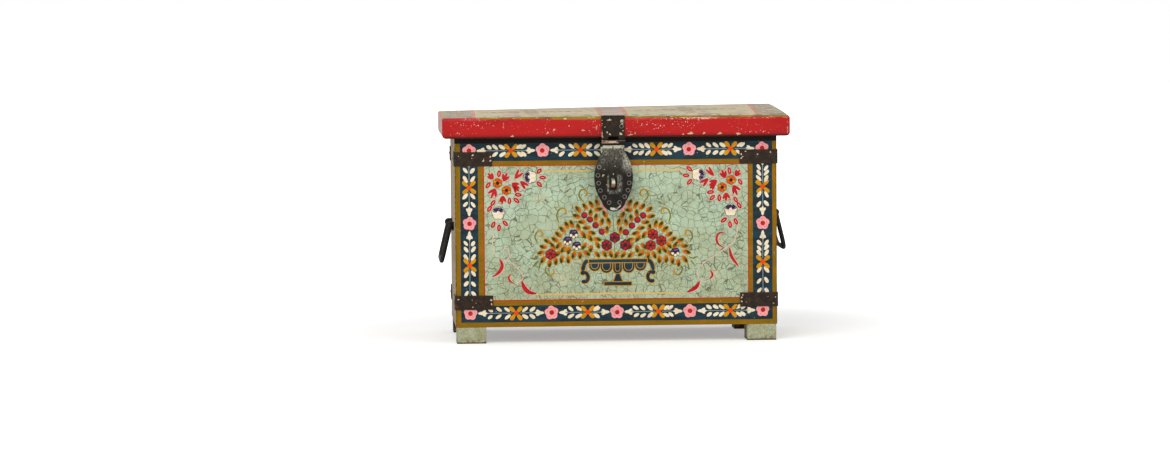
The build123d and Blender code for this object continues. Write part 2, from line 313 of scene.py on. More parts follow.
    def slab(self, place: Mask, low: float, high: float, soft: float = 0.4) -> Mask:
        """A mask that is 1 where a place in millimetres lies between low and high.

        Args:
            place: The place, such as an axis.
            low: Where the mask begins, or minus infinity.
            high: Where it ends, or infinity.
            soft: Width of its edges.

        Returns:
            The mask.
        """
        masks = []
        if low > -math.inf:
            masks.append(self.ramp(place, low - soft / 2, low + soft / 2))
        if high < math.inf:
            masks.append(1.0 - self.ramp(place, high - soft / 2, high + soft / 2))
        return masks[0] if len(masks) == 1 else masks[0] * masks[1]

    def beyond(self, axis: str, limit: float, soft: float = 0.4, middle: float = 0.0) -> Mask:
        """A mask that is 1 farther than the limit from a plane, on both its sides."""
        away = abs(self.axis(axis) - middle)
        return self.ramp(away, limit - soft / 2, limit + soft / 2)

    def looking(self, axis: str, low: float = 0.3, high: float = 0.7) -> Mask:
        """A mask for faces that look along an axis."""
        facing = self.add("ShaderNodeSeparateXYZ", {"Vector": self.facing}).outputs[axis]
        return self.ramp(facing, low, high)

    def worn_edges(self, radius: float) -> Mask:
        """A mask that is 1 along the sharp edges of a solid.

        Args:
            radius: How far the wear reaches from an edge.

        Returns:
            The mask.
        """
        soft = self.add("ShaderNodeBevel", {"Radius": radius * MM}, samples=6).outputs[0]
        flat = self.add("ShaderNodeNewGeometry").outputs["Normal"]
        match = self.add("ShaderNodeVectorMath", {0: soft, 1: flat}, operation="DOT_PRODUCT").outputs["Value"]
        return 1.0 - self.ramp(match, 0.80, 0.995)

    def lay(self, under: Socket | str, *films: tuple[Socket | str, Term]) -> Socket:
        """Lay colours over another, one after the other.

        Args:
            under: The lowest colour.
            films: Each colour, and the mask that says where it lies.

        Returns:
            What shows.
        """
        for film, mask in films:
            pair = [linear(colour) if isinstance(colour, str) else colour for colour in (under, film)]
            inputs = {self.FACTOR: mask, self.UNDER: pair[0], self.OVER: pair[1]}
            under = self.add("ShaderNodeMix", inputs, data_type="RGBA").outputs[self.MIXED]
        return under

    def close(self, colour: Socket, roughness: float, height: Mask, depth: float,
              metallic: Term = 0.0, specular: float = 0.5) -> bpy.types.Material:
        """Join the patterns in a surface shader.

        Args:
            colour: The surface colour.
            roughness: From 0, polished, to 1, chalky.
            height: Relief, from 0 to 1.
            depth: How deep the relief is.
            metallic: 1 where bare metal shows.
            specular: Strength of the gloss of a surface that isn't metal.

        Returns:
            The finished material.
        """
        bump = self.add("ShaderNodeBump", {"Height": height, "Distance": depth * MM, "Strength": 0.7})
        inputs = {
            "Base Color": colour,
            "Roughness": roughness,
            "Metallic": metallic,
            "Specular IOR Level": specular,
            "Normal": bump.outputs[0],
        }
        shader = self.add("ShaderNodeBsdfPrincipled", inputs)
        self.add("ShaderNodeOutputMaterial", {"Surface": shader.outputs[0]})
        return self.material


# --- Finishes ---

@dataclass(frozen=True)
class OilPaint:
    """Oil paint brushed on by hand: slightly streaky, dry, finely cracked and flecked with losses."""

    name: str
    colour: str
    streak: str
    loss: str = "#d9cdb0"
    crack: str = "#6e6a48"
    cell: float = 7.0  # distance between cracks
    crack_width: float = 0.5
    crack_strength: float = 0.25
    loss_share: float = 0.10
    loss_radius: float = 0.55
    stretch: Triple = (5, 1, 1)
    roughness: float = 0.55
    shift: float = 0.0
    wear: float = 0.0  # how much of the film is worn through to the bare colour
    bare: str = "#b5ab97"

    def make(self) -> bpy.types.Material:
        """Build the material.

        Returns:
            The finished material.
        """
        coat = Coat(self.name)
        streaks = coat.cloud(6.0, 0.38, 0.66, self.stretch, self.shift)
        web = coat.crackle(self.cell, self.crack_width, self.shift)
        web *= coat.cloud(28.0, 0.36, 0.60, shift=self.shift + 3)
        losses = coat.flecks(3.2, self.loss_radius, self.loss_share, self.shift + 7)
        losses *= coat.cloud(35.0, 0.46, 0.60, shift=self.shift + 11)
        colour = coat.lay(
            self.colour,
            (self.streak, streaks),
            (self.crack, web * self.crack_strength),
            (self.loss, losses),
        )
        if self.wear:
            middle = 0.66 - 0.3 * self.wear
            thin = coat.cloud(3.4, middle - 0.05, middle + 0.06, (2, 1, 1), self.shift + 13, detail=6)
            colour = coat.lay(colour, (self.bare, thin * 0.85))
        height = 1.0 - (web | losses)
        return coat.close(colour, self.roughness, height, 0.12, specular=0.12)


@dataclass(frozen=True)
class CrackledGround:
    """The pale green ground of the front: two webs of cracks in dry paint, rubbed and soiled in places, and
    dark round the staple as painted shade.
    """

    name: str = "crackled green oil paint"
    green: str = "#bbd0b4"
    olive: str = "#aeb692"
    grey: str = "#a9b89b"
    crack: str = "#574f30"
    rubbed: str = "#cfc39b"
    soil: str = "#827748"
    rubs: tuple[Triple, ...] = ((-99, 187, 14), (-72, 84, 18), (128, 88, 12), (-56, 104, 10))

    def make(self) -> bpy.types.Material:
        """Build the material.

        Returns:
            The finished material.
        """
        coat = Coat(self.name)
        lower = 1.0 - coat.ramp(coat.axis("Z"), 70.0, 190.0)
        age = lower * 0.45 + coat.cloud(44.0, 0.34, 0.70, detail=6)
        sand = coat.cloud(1.7, 0.50, 0.70, shift=2) * (lower + 0.25)
        web = self.web(coat)
        pits = coat.flecks(7.0, 0.7, 0.2, shift=17)
        pits *= coat.cloud(40.0, 0.50, 0.62, shift=19)
        colour = coat.lay(
            self.green,
            (self.olive, age * 0.62),
            (self.grey, coat.cloud(19.0, 0.50, 0.66, shift=3)),
            (self.soil, sand * 0.5),
            (self.rubbed, self.rubbed_places(coat)),  # rubbed down to the priming
            (self.crack, web * 0.8),
            ("#1b1712", coat.ramp(coat.away(HASP_X, SLOT_Z), 10.5, 8.0)),  # a dark stain round the staple that is also painted shade seen through the slot
            ("#4a2c22", pits),  # pits down to the wood
        )
        height = 1.0 - (web | pits)
        return coat.close(colour, 0.6, height, 0.1, specular=0.1)

    def web(self, coat: Coat) -> Mask:
        """Wide cracks nearly everywhere, and finer ones between them towards the left and the foot.

        Args:
            coat: The material being built.

        Returns:
            The mask.
        """
        wide = coat.crackle(9.2, 0.50, bend=0.22)
        wide *= coat.cloud(10.0, 0.22, 0.54, shift=5, detail=6)
        fine = coat.crackle(5.8, 0.45, shift=9, bend=0.3)
        fine *= coat.cloud(34.0, 0.44, 0.56, shift=13)
        return wide | fine * 0.45

    def rubbed_places(self, coat: Coat) -> Mask:
        """A mask for the spots that are rubbed down to the priming.

        Args:
            coat: The material being built.

        Returns:
            The mask.
        """
        total: Mask | float = 0.0
        for x, z, reach in self.rubs:
            total |= coat.ramp(coat.away(x, z), reach, 0.0)
        ragged = coat.cloud(2.6, 0.44, 0.58, (1.8, 1, 1), shift=23)
        return total * ragged * 0.9


@dataclass(frozen=True)
class OldSoftwood:
    """Bare pine board, planed and darkened with age: long grain lines and a dull surface."""

    name: str = "aged planed pine"
    pale: str = "#a3835a"
    dark: str = "#6b4b2c"
    grime: str = "#3d2a1a"
    line: float = 2.4  # distance between grain lines
    grain: Triple = (14, 1, 1)

    def colour(self, coat: Coat) -> Socket:
        """The wood's colour, for this finish and for wood that shows beside paint.

        Args:
            coat: The material being built.

        Returns:
            The colour.
        """
        rings = coat.cloud(self.line, 0.35, 0.68, self.grain, shift=31, detail=3)
        fine = coat.cloud(self.line * 0.35, 0.42, 0.72, self.grain, shift=33, detail=2)
        return coat.lay(
            self.pale,
            (self.dark, rings),
            (self.dark, fine * 0.45),
            (self.grime, coat.cloud(70.0, 0.50, 0.80, shift=37) * 0.5),
        )

    def make(self) -> bpy.types.Material:
        """Build the material.

        Returns:
            The finished material.
        """
        coat = Coat(self.name)
        height = coat.cloud(self.line, 0.3, 0.7, self.grain, shift=31)
        return coat.close(self.colour(coat), 0.75, height, 0.15, specular=0.12)


@dataclass(frozen=True)
class BoardPaint:
    """The boards of the carcass: painted outside, each side in its own colour, and bare wood within."""

    name: str = "brushed oil paint on pine boards"
    mustard: str = "#8f670a"
    olive: str = "#806205"
    orange: str = "#a0690e"
    loss: str = "#d8ccae"
    # near-black of the strip under the lid: painted shadow of the lid's overhang, partly dirt
    rim: str = "#0e0903"
    shadow_and_dirt_height: float = 9.8  # painted shadow under the lid, partly dirt: a near-black strip
    side: str = "#a2967a"
    side_warm: str = "#a88a70"
    side_grey: str = "#8a8168"
    back: str = "#6d5640"
    back_grey: str = "#57493a"
    wood: OldSoftwood = field(default_factory=OldSoftwood)

    def make(self) -> bpy.types.Material:
        """Build the material.

        Returns:
            The finished material.
        """
        coat = Coat(self.name)
        skin = 0.6
        colour = self.wood.colour(coat)
        front = coat.within("Y", -math.inf, FRONT_Y + skin)
        back = coat.within("Y", BACK_Y - skin, math.inf)
        sides = coat.beyond("X", SIDE_X - skin)
        web = coat.crackle(5.5, 0.5, shift=41)
        colour = coat.lay(
            colour,
            (self.back_colour(coat), back),
            (self.side_colour(coat, web), sides),
            (self.front_colour(coat), front),
        )
        height = 1.0 - web * 0.5
        return coat.close(colour, 0.62, height, 0.12, specular=0.12)

    def front_colour(self, coat: Coat) -> Socket:
        """Mustard edging, streaked along each band, with painted shadow, partly dirt, as a dark strip under
        the lid.

        Args:
            coat: The material being built.

        Returns:
            The colour.
        """
        upright = coat.cloud(2.6, 0.36, 0.64, (1, 1, 12), shift=43)
        level = coat.cloud(2.6, 0.36, 0.64, (12, 1, 1), shift=43)
        near_end = coat.beyond("X", 196.0)
        tone = upright * near_end + level * (1.0 - near_end)
        losses = coat.flecks(2.6, 0.7, 0.2, shift=53)
        losses *= coat.cloud(18.0, 0.54, 0.62, shift=59)
        edge = coat.beyond("X", SIDE_X - 1.3, 0.8)
        edge *= coat.cloud(6.0, 0.40, 0.60, shift=61)
        return coat.lay(
            self.mustard,
            (self.olive, tone),
            (self.orange, coat.cloud(18.0, 0.50, 0.74, shift=47)),
            (self.loss, losses),
            ("#4c2c12", edge),  # brown at the worn ends
            # painted shadow under the lid, partly dirt
            (self.rim, coat.within("Z", RIM_Z - self.shadow_and_dirt_height, math.inf, 0.8)),
        )

    def side_colour(self, coat: Coat, web: Mask) -> Socket:
        """Thin worn paint, with the wood and a warm priming coming through.

        Args:
            coat: The material being built.
            web: Its web of cracks.

        Returns:
            The colour.
        """
        scuffs = coat.flecks(5.0, 1.3, 0.16, shift=73)
        scuffs *= coat.cloud(40.0, 0.46, 0.58, shift=79)
        return coat.lay(
            self.side,
            (self.side_warm, coat.cloud(30.0, 0.42, 0.62, (1, 1, 3), shift=67)),
            (self.side_grey, coat.cloud(9.0, 0.52, 0.70, (1, 1, 2.5), shift=71)),
            ("#5b4c38", web * 0.5),  # cracks
            ("#6a4a30", scuffs),  # wood in the scuffs
        )

    def back_colour(self, coat: Coat) -> Socket:
        """A brown-grey wash that lets the grain show.

        Args:
            coat: The material being built.

        Returns:
            The colour.
        """
        grey = coat.cloud(60.0, 0.42, 0.62, (3, 1, 1), shift=83, detail=2)
        grain = coat.cloud(1.5, 0.42, 0.72, (24, 1, 1), shift=89, detail=3)
        thin = coat.cloud(30.0, 0.54, 0.66, (3, 1, 1), shift=91, detail=8) * 0.5
        return coat.lay(
            self.back,
            (self.back_grey, grey),
            ("#3e2f22", grain * 0.5),  # grain lines
            ("#8a6f50", thin),  # where the wash is thin
        )


@dataclass(frozen=True)
class FootPaint:
    """Block feet in the green of the front, cracked, soiled and worn to brown wood at their edges."""

    name: str
    green: str = "#bbbf9f"
    grey: str = "#aeb190"
    crack: str = "#6c6a48"
    wood: str = "#4a2c18"
    speck: str = "#5e3a20"
    worn: float = 0.9

    def make(self) -> bpy.types.Material:
        """Build the material.

        Returns:
            The finished material.
        """
        coat = Coat(self.name)
        web = coat.crackle(4.6, 0.5, shift=101) | coat.crackle(2.6, 0.4, shift=102) * 0.7
        low = coat.within("Z", -math.inf, 6.0, 6.0) * coat.cloud(5.0, 0.42, 0.56, shift=104)
        edges = coat.worn_edges(1.0)
        ragged = coat.cloud(2.2, 0.34, 0.52, shift=107)
        foot = coat.within("Z", -math.inf, 1.8, 1.4)
        bare = edges * ragged | foot
        colour = coat.lay(
            self.green,
            (self.grey, coat.cloud(7.0, 0.40, 0.62, shift=97)),
            (self.crack, web * 0.42),
            ("#8e7d4f", coat.cloud(14, 0.5, 0.7, shift=103) * 0.5),  # soiled patches
            (self.speck, coat.flecks(4.0, 0.8, 0.35, shift=105) * 0.8),
            ("#7c6844", low * 0.7),  # dirt near the floor
            (self.wood, bare * self.worn),
        )
        height = 1.0 - (web | bare)
        return coat.close(colour, 0.65, height, 0.2, specular=0.12)


@dataclass(frozen=True)
class LidPaint:
    """The lid: a red edge, a mustard line, and a top whose panels are washed out by wear and light."""

    name: str = "worn oil paint on a pine lid"
    red: str = "#b81b1a"
    deep: str = "#a61716"
    rubbed: str = "#d0505a"
    loss: str = "#e9d3c6"
    mustard: str = "#94790a"
    panel: str = "#d6c69e"
    panel_green: str = "#c4c09a"
    beige: str = "#d6b48e"
    pink: str = "#c39a8c"
    grey: str = "#9d978c"
    navy: str = "#77776f"  # what is left of the navy on the end bands
    line_red: str = "#cf7558"
    chip: str = "#efc4b0"
    hem: str = "#c79a62"
    olive_hem: str = "#b3a67e"
    end: str = "#c68f84"
    end_grey: str = "#a8776c"
    red_wrap: float = 1.7  # how far the red goes over the top edge
    line_low: float = 24.8  # height of the mustard line's lower side on the red
    line_end: float = 6.5  # how far it goes over the top edge
    stripe: tuple[float, float] = (-13.8, 17)  # sides of the middle band, from the hasp
    band: float = 186.0  # where the end bands begin
    drift: float = 7.0  # how far the top's lines go to the right from front to back
    spread: float = 60.0  # and one millimetre more for each of these from the middle
    wood: OldSoftwood = field(default_factory=OldSoftwood)

    def make(self) -> bpy.types.Material:
        """Build the material.

        Returns:
            The finished material.
        """
        coat = Coat(self.name)
        web = coat.crackle(6.5, 0.55, shift=109)
        front = coat.within("Y", -math.inf, LID_FRONT_Y + self.line_end, 0.8)
        red = coat.within("Y", -math.inf, LID_FRONT_Y + self.red_wrap, 0.4)
        colour = coat.lay(
            self.wood.colour(coat),
            (self.top_colour(coat, web), coat.looking("Z")),
            (self.back_colour(coat), coat.within("Y", LID_BACK_Y - 0.8, math.inf)),
            (self.end_colour(coat, web), coat.beyond("X", LID_X - 0.9, 0.6)),
            (self.red_colour(coat), red),
            (self.line_colour(coat), front * self.line_mask(coat)),
        )
        height = 1.0 - web * 0.6
        return coat.close(colour, 0.5, height, 0.15, specular=0.16)

    def red_colour(self, coat: Coat) -> Socket:
        """Red with rubbed edges and pale losses, thickest to the right of the hasp, with painted shade along
        its foot and a painted shadow behind the hasp.

        Args:
            coat: The material being built.

        Returns:
            The colour.
        """
        upper = coat.within("Z", LID_LOW_Z + 22.8, math.inf, 2.0)
        rub = upper * coat.cloud(9.0, 0.40, 0.64, (3, 1, 1), shift=127)
        crowd = coat.within("X", 22.0, 120.0, 40.0) | coat.within("X", -215.0, -110.0, 30.0)
        crowd *= coat.within("Z", LID_LOW_Z + 13.0, math.inf, 8.0) * 0.42
        thick = coat.cloud(30.0, 0.42, 0.62, (2, 1, 1), shift=131) + crowd
        fine = coat.flecks(2.7, 0.72, 0.42, shift=137) * thick
        dust = coat.flecks(1.8, 0.46, 0.5, shift=138) * thick * 0.8
        large = coat.flecks(11.0, 1.0, 0.16, shift=139)
        dense = coat.within("X", 30.0, 110.0, 26.0) * coat.cloud(8.0, 0.22, 0.44, shift=140)
        dense *= coat.within("Z", LID_LOW_Z + 12.0, LID_LOW_Z + 24.0, 4.0)
        dense *= coat.flecks(2.8, 0.8, 0.8, shift=142)
        losses = fine | dust | large | dense
        shade = coat.within("Z", -math.inf, LID_LOW_Z + 4.2, 5.6)
        shadow_behind_hasp = coat.within("X", HASP_X - 15.3, HASP_X + 15.3, 0.6)
        shadow_behind_hasp *= coat.within("Z", -math.inf, LID_LOW_Z + 3.5, 0.4)
        return coat.lay(
            self.red,
            (self.deep, coat.cloud(20.0, 0.40, 0.66, (4, 1, 1), shift=113)),
            (self.rubbed, rub * 0.5),
            (self.loss, losses * 0.9),
            (self.chip, self.chipped_edges(coat)),
            ("#86110f", shade * 0.75),  # painted shade, darker towards its foot
            ("#470d0c", coat.within("Z", -math.inf, LID_LOW_Z + 2.2, 2.2)),  # painted shade along its foot
            ("#140a07", shadow_behind_hasp),  # painted shadow in the gap behind the hasp
        )

    def line_mask(self, coat: Coat) -> Mask:
        """All that is above the wavy lower side of the mustard line, which dips to the left of the hasp.

        Args:
            coat: The material being built.

        Returns:
            The mask.
        """
        dip = coat.within("X", -85.0, -20.0, 9.0) * 1.2
        wave = coat.cloud(13.0, 0.30, 0.70, shift=183, detail=5) * 0.7
        gone = coat.ramp(coat.axis("X"), -176.0, -186.0) * -1.8
        height = coat.axis("Z") + gone + dip + wave
        return coat.ramp(height, LID_LOW_Z + self.line_low + 0.2, LID_LOW_Z + self.line_low + 0.8)

    def line_colour(self, coat: Coat) -> Socket:
        """Mustard, darker in places and rubbed to the priming in a few.

        Args:
            coat: The material being built.

        Returns:
            The colour.
        """
        return coat.lay(
            self.mustard,
            ("#6f5a10", coat.cloud(5.0, 0.46, 0.66, (3, 1, 1), shift=185)),  # darker marks
            ("#d9c9a0", coat.cloud(2.6, 0.60, 0.68, (3, 1, 1), shift=187)),  # priming
        )

    def chipped_edges(self, coat: Coat) -> Mask:
        """A mask for dashes along the top edge, most of them at the right, and along the end corners.

        Args:
            coat: The material being built.

        Returns:
            The mask.
        """
        edge = coat.within("Z", LID_LOW_Z + 22.8, LID_LOW_Z + 24.6, 0.8)
        edge *= coat.ramp(coat.axis("X"), 0.0, 90.0)
        dashes = edge * coat.cloud(2.4, 0.52, 0.66, (3.5, 1, 1), shift=128) * 0.6
        heavy = coat.within("X", 71.0, 120.0, 8.0) * coat.cloud(1.8, 0.42, 0.54, (2, 1, 1), shift=126)
        heavy *= coat.within("Z", LID_LOW_Z + 22.6, math.inf, 1.0)
        corner = coat.beyond("X", LID_X - 4.0, 0.8) * (1.0 - coat.beyond("X", LID_X - 2.6, 0.8))
        corner *= coat.cloud(2.0, 0.52, 0.60, (1, 1, 1.6), shift=129)
        corner *= coat.ramp(coat.axis("X"), -50.0, 50.0, 0.5)
        return (dashes | heavy | corner) * 0.85

    def across(self, coat: Coat) -> Mask:
        """Place across the lid's painted top, whose lines were laid out a little askew.

        Args:
            coat: The material being built.

        Returns:
            X in millimetres, less what a line has drifted to the right between the front and this depth.
        """
        depth = (coat.axis("Y") - LID_FRONT_Y) / (LID_BACK_Y - LID_FRONT_Y)
        drift = coat.axis("X") / self.spread + self.drift
        return coat.axis("X") - depth * drift

    def top_colour(self, coat: Coat, web: Mask) -> Socket:
        """Pale panels between a streaked middle band and grey end bands.

        Args:
            coat: The material being built.
            web: Its web of cracks.

        Returns:
            The colour.
        """
        across = self.across(coat)
        streaks = coat.cloud(3.4, 0.36, 0.70, (14, 1, 1), shift=149)
        blush = coat.cloud(26.0, 0.50, 0.66, (1, 3, 1), shift=157, detail=3)
        soil = coat.cloud(15.0, 0.56, 0.70, (1, 3, 1), shift=158, detail=4)
        band = coat.lay(self.grey, (self.navy, coat.cloud(5.0, 0.44, 0.66, shift=163) * 0.6))
        band = coat.lay(band, (self.beige, coat.cloud(13.0, 0.44, 0.64, shift=167)))
        ends = 1.0 - coat.slab(across, -self.band, self.band, 1.2)
        middle = coat.slab(across, HASP_X + self.stripe[0], HASP_X + self.stripe[1], 1.4)
        near_front = coat.within("Y", LID_FRONT_Y + 7.0, LID_FRONT_Y + 34.0, 10.0)
        dashes = near_front * coat.cloud(6.0, 0.50, 0.60, (1.6, 3, 1), shift=179)
        return coat.lay(
            self.panel,
            (self.panel_green, coat.cloud(40.0, 0.40, 0.62, (2, 1, 1), shift=151)),
            (self.beige, streaks * 0.45),
            (self.pink, blush * 0.6),
            ("#8f8a74", soil * 0.55),  # soil
            (band, ends),
            (self.stripe_colour(coat), middle),
            (self.line_red, self.red_lines(coat, across)),
            (self.olive_hem, coat.beyond("X", LID_X - 7.5, 2.0)),
            (self.hem, coat.beyond("X", LID_X - 3.2, 1.4)),
            ("#7d7357", web * 0.30),  # cracks
            ("#6f6248", self.joints(coat) * 0.55),  # joints of the staves
            ("#5c5f50", dashes * 0.8),  # grey-green dashes near the front
        )

    def stripe_colour(self, coat: Coat) -> Socket:
        """The middle band: grey and pink, streaked along the boards.

        Args:
            coat: The material being built.

        Returns:
            The colour.
        """
        streaks = coat.cloud(7.0, 0.42, 0.58, (12, 1, 1), shift=172, detail=3)
        pale = coat.cloud(9.0, 0.56, 0.66, (10, 1, 1), shift=174, detail=3)
        return coat.lay(
            "#c9b8a2",
            ("#94857a", streaks),  # grey streaks
            (self.pink, coat.cloud(12.0, 0.44, 0.66, (3, 1, 1), shift=173)),
            ("#dccdb2", pale),  # pale streaks
        )

    def joints(self, coat: Coat) -> Mask:
        """Hairlines where the staves meet.

        Args:
            coat: The material being built.

        Returns:
            The mask.
        """
        low, high = span("lid_stave_2")
        lines = [coat.within("Y", y - 0.45, y + 0.45, 0.4) for y in (low.y, high.y)]
        return (lines[0] | lines[1]) * coat.cloud(16.0, 0.34, 0.52, (3, 1, 1), shift=176)

    def red_lines(self, coat: Coat, across: Mask) -> Mask:
        """Faded red lines beside the middle band and the end bands.

        Args:
            coat: The material being built.
            across: Place across the painted top.

        Returns:
            A mask that is 1 on the lines.
        """
        inner = [HASP_X + self.stripe[0] - 1.0, HASP_X + self.stripe[1] + 1.0]
        total: Mask | float = 0.0
        for x in (2.0 - self.band, *inner, self.band - 2.0):
            total |= coat.slab(across, x - 2.6, x + 2.6, 1.4)
        worn = coat.cloud(7.0, 0.30, 0.52, (1, 3, 1), shift=181)
        return total * worn * 0.85

    def end_colour(self, coat: Coat, web: Mask) -> Socket:
        """Pinkish beige ends.

        Args:
            coat: The material being built.
            web: Its web of cracks.

        Returns:
            The colour.
        """
        return coat.lay(
            self.end,
            (self.end_grey, coat.cloud(7.0, 0.42, 0.66, (1, 4, 1), shift=191)),
            ("#8d6f5c", web * 0.4),  # cracks
        )

    def back_colour(self, coat: Coat) -> Socket:
        """The same red, dull and thin, on the rear edge."""
        return coat.lay("#8c2a20", ("#6b3a28", coat.cloud(9.0, 0.40, 0.64, (5, 1, 1), shift=193)))


@dataclass(frozen=True)
class OldIron:
    """Hand-forged iron, blackened and oiled: brown scale, brighter rubbed edges and flecks of old paint."""

    name: str
    black: str = "#261d15"
    brown: str = "#35291e"
    rust: str = "#5a3423"
    bright: str = "#8c8880"
    fleck: str = "#e3cfa6"
    fleck_share: float = 0.10
    fleck_radius: float = 1.5
    edge: float = 0.35  # how far rubbed edges turn bright
    roughness: float = 0.55
    shift: float = 0.0

    def make(self) -> bpy.types.Material:
        """Build the material.

        Returns:
            The finished material.
        """
        coat = Coat(self.name)
        shine = self.bright_mask(coat)
        colour = coat.lay(
            self.black,
            (self.brown, coat.cloud(6.0, 0.40, 0.64, shift=self.shift)),
            (self.rust, self.rust_mask(coat)),
            (self.bright, shine),
        )
        paint = coat.flecks(9.0, self.fleck_radius, self.fleck_share, self.shift + 5)
        colour = self.old_paint(coat, coat.lay(colour, (self.fleck, paint)))
        metal = shine * (1.0 - paint)
        hammered = coat.cloud(4.0, 0.2, 0.8, shift=self.shift + 9, detail=6)
        height = hammered * 0.7 + paint * 0.3
        return coat.close(colour, self.roughness, height, 0.35, metal * 0.8, 0.14)

    def old_paint(self, coat: Coat, colour: Socket) -> Socket:
        """Lay on the paint that is left in special places: none on plain iron."""
        return colour

    def rust_mask(self, coat: Coat) -> Mask:
        """Rust along the edges and in a few patches.

        Args:
            coat: The material being built.

        Returns:
            The mask.
        """
        edges = coat.worn_edges(1.2) * coat.cloud(5.0, 0.40, 0.56, shift=self.shift + 1)
        patches = coat.cloud(9.0, 0.60, 0.74, shift=self.shift + 2)
        return (edges | patches) * 0.75

    def bright_mask(self, coat: Coat) -> Mask:
        """Rubbed edges where the metal comes through."""
        edges = coat.worn_edges(0.5) * coat.cloud(3.0, 0.48, 0.62, shift=self.shift + 3)
        return edges * self.edge


@dataclass(frozen=True)
class ClaspIron(OldIron):
    """The hasp's strap: paint dots its edges and is smeared on its knuckles and its turned-over end, with a
    painted highlight and a painted shadow along its knuckles.
    """

    def old_paint(self, coat: Coat, colour: Socket) -> Socket:
        """Lay on what is left of the paint that once covered the strap, with a painted highlight along its
        knuckles and a painted shadow above them.

        Args:
            coat: The material being built.
            colour: What lies below.

        Returns:
            The colour.
        """
        sides = coat.beyond("X", 13.6, 0.8, HASP_X) * coat.flecks(2.3, 0.75, 0.55, self.shift + 11)
        streaks = coat.cloud(2.6, 0.34, 0.70, (12, 1, 1), shift=self.shift + 12, detail=3)
        over = coat.looking("Z") * coat.within("Z", LID_LOW_Z + 24.0, math.inf, 0.6)
        barrel = coat.within("Z", HASP_AXIS_Z - 1.6, HASP_AXIS_Z + 1.7, 0.8)
        left = coat.ramp(coat.axis("X"), HASP_X + 1.0, HASP_X - 1.0)
        paint_and_highlight = barrel * left * coat.cloud(2.4, 0.36, 0.54, (2.5, 1, 1), shift=6)
        # painted highlight along the top of the knuckles
        line = coat.within("Z", HASP_AXIS_Z + 1.7, HASP_AXIS_Z + 2.2, 0.4)
        return coat.lay(
            colour,
            ("#d9c4a0", sides * 0.85),  # cream dots along both edges
            (coat.lay("#c9b9a4", ("#8f8176", streaks)), over),  # streaked paint on the turned-over end
            ("#a98468", paint_and_highlight * 0.9),  # cream on the knuckles, partly old paint and partly a painted highlight
            ("#8f8168", line * 0.8),  # painted highlight along their top
            ("#0d0a07", coat.within("Z", HASP_AXIS_Z + 2.8, HASP_AXIS_Z + 3.9, 0.5)),  # painted shadow in the gap over that
        )


@dataclass(frozen=True)
class StapleIron(OldIron):
    """The staple in the hasp's slot: cream paint above, made bright as a painted highlight, and brown below.
    """

    def old_paint(self, coat: Coat, colour: Socket) -> Socket:
        """Lay cream over the upper part of the bow, old paint made bright as a painted highlight, and brown
        over its lower part.

        Args:
            coat: The material being built.
            colour: What lies below.

        Returns:
            The colour.
        """
        return coat.lay(
            colour,
            ("#c08a62", coat.within("Z", SLOT_Z - 4.6, SLOT_Z + 0.5, 2.0)),  # brown
            ("#e2ead0", coat.within("Z", SLOT_Z - 0.5, math.inf, 2.0)),  # cream paint, also a painted highlight
        )


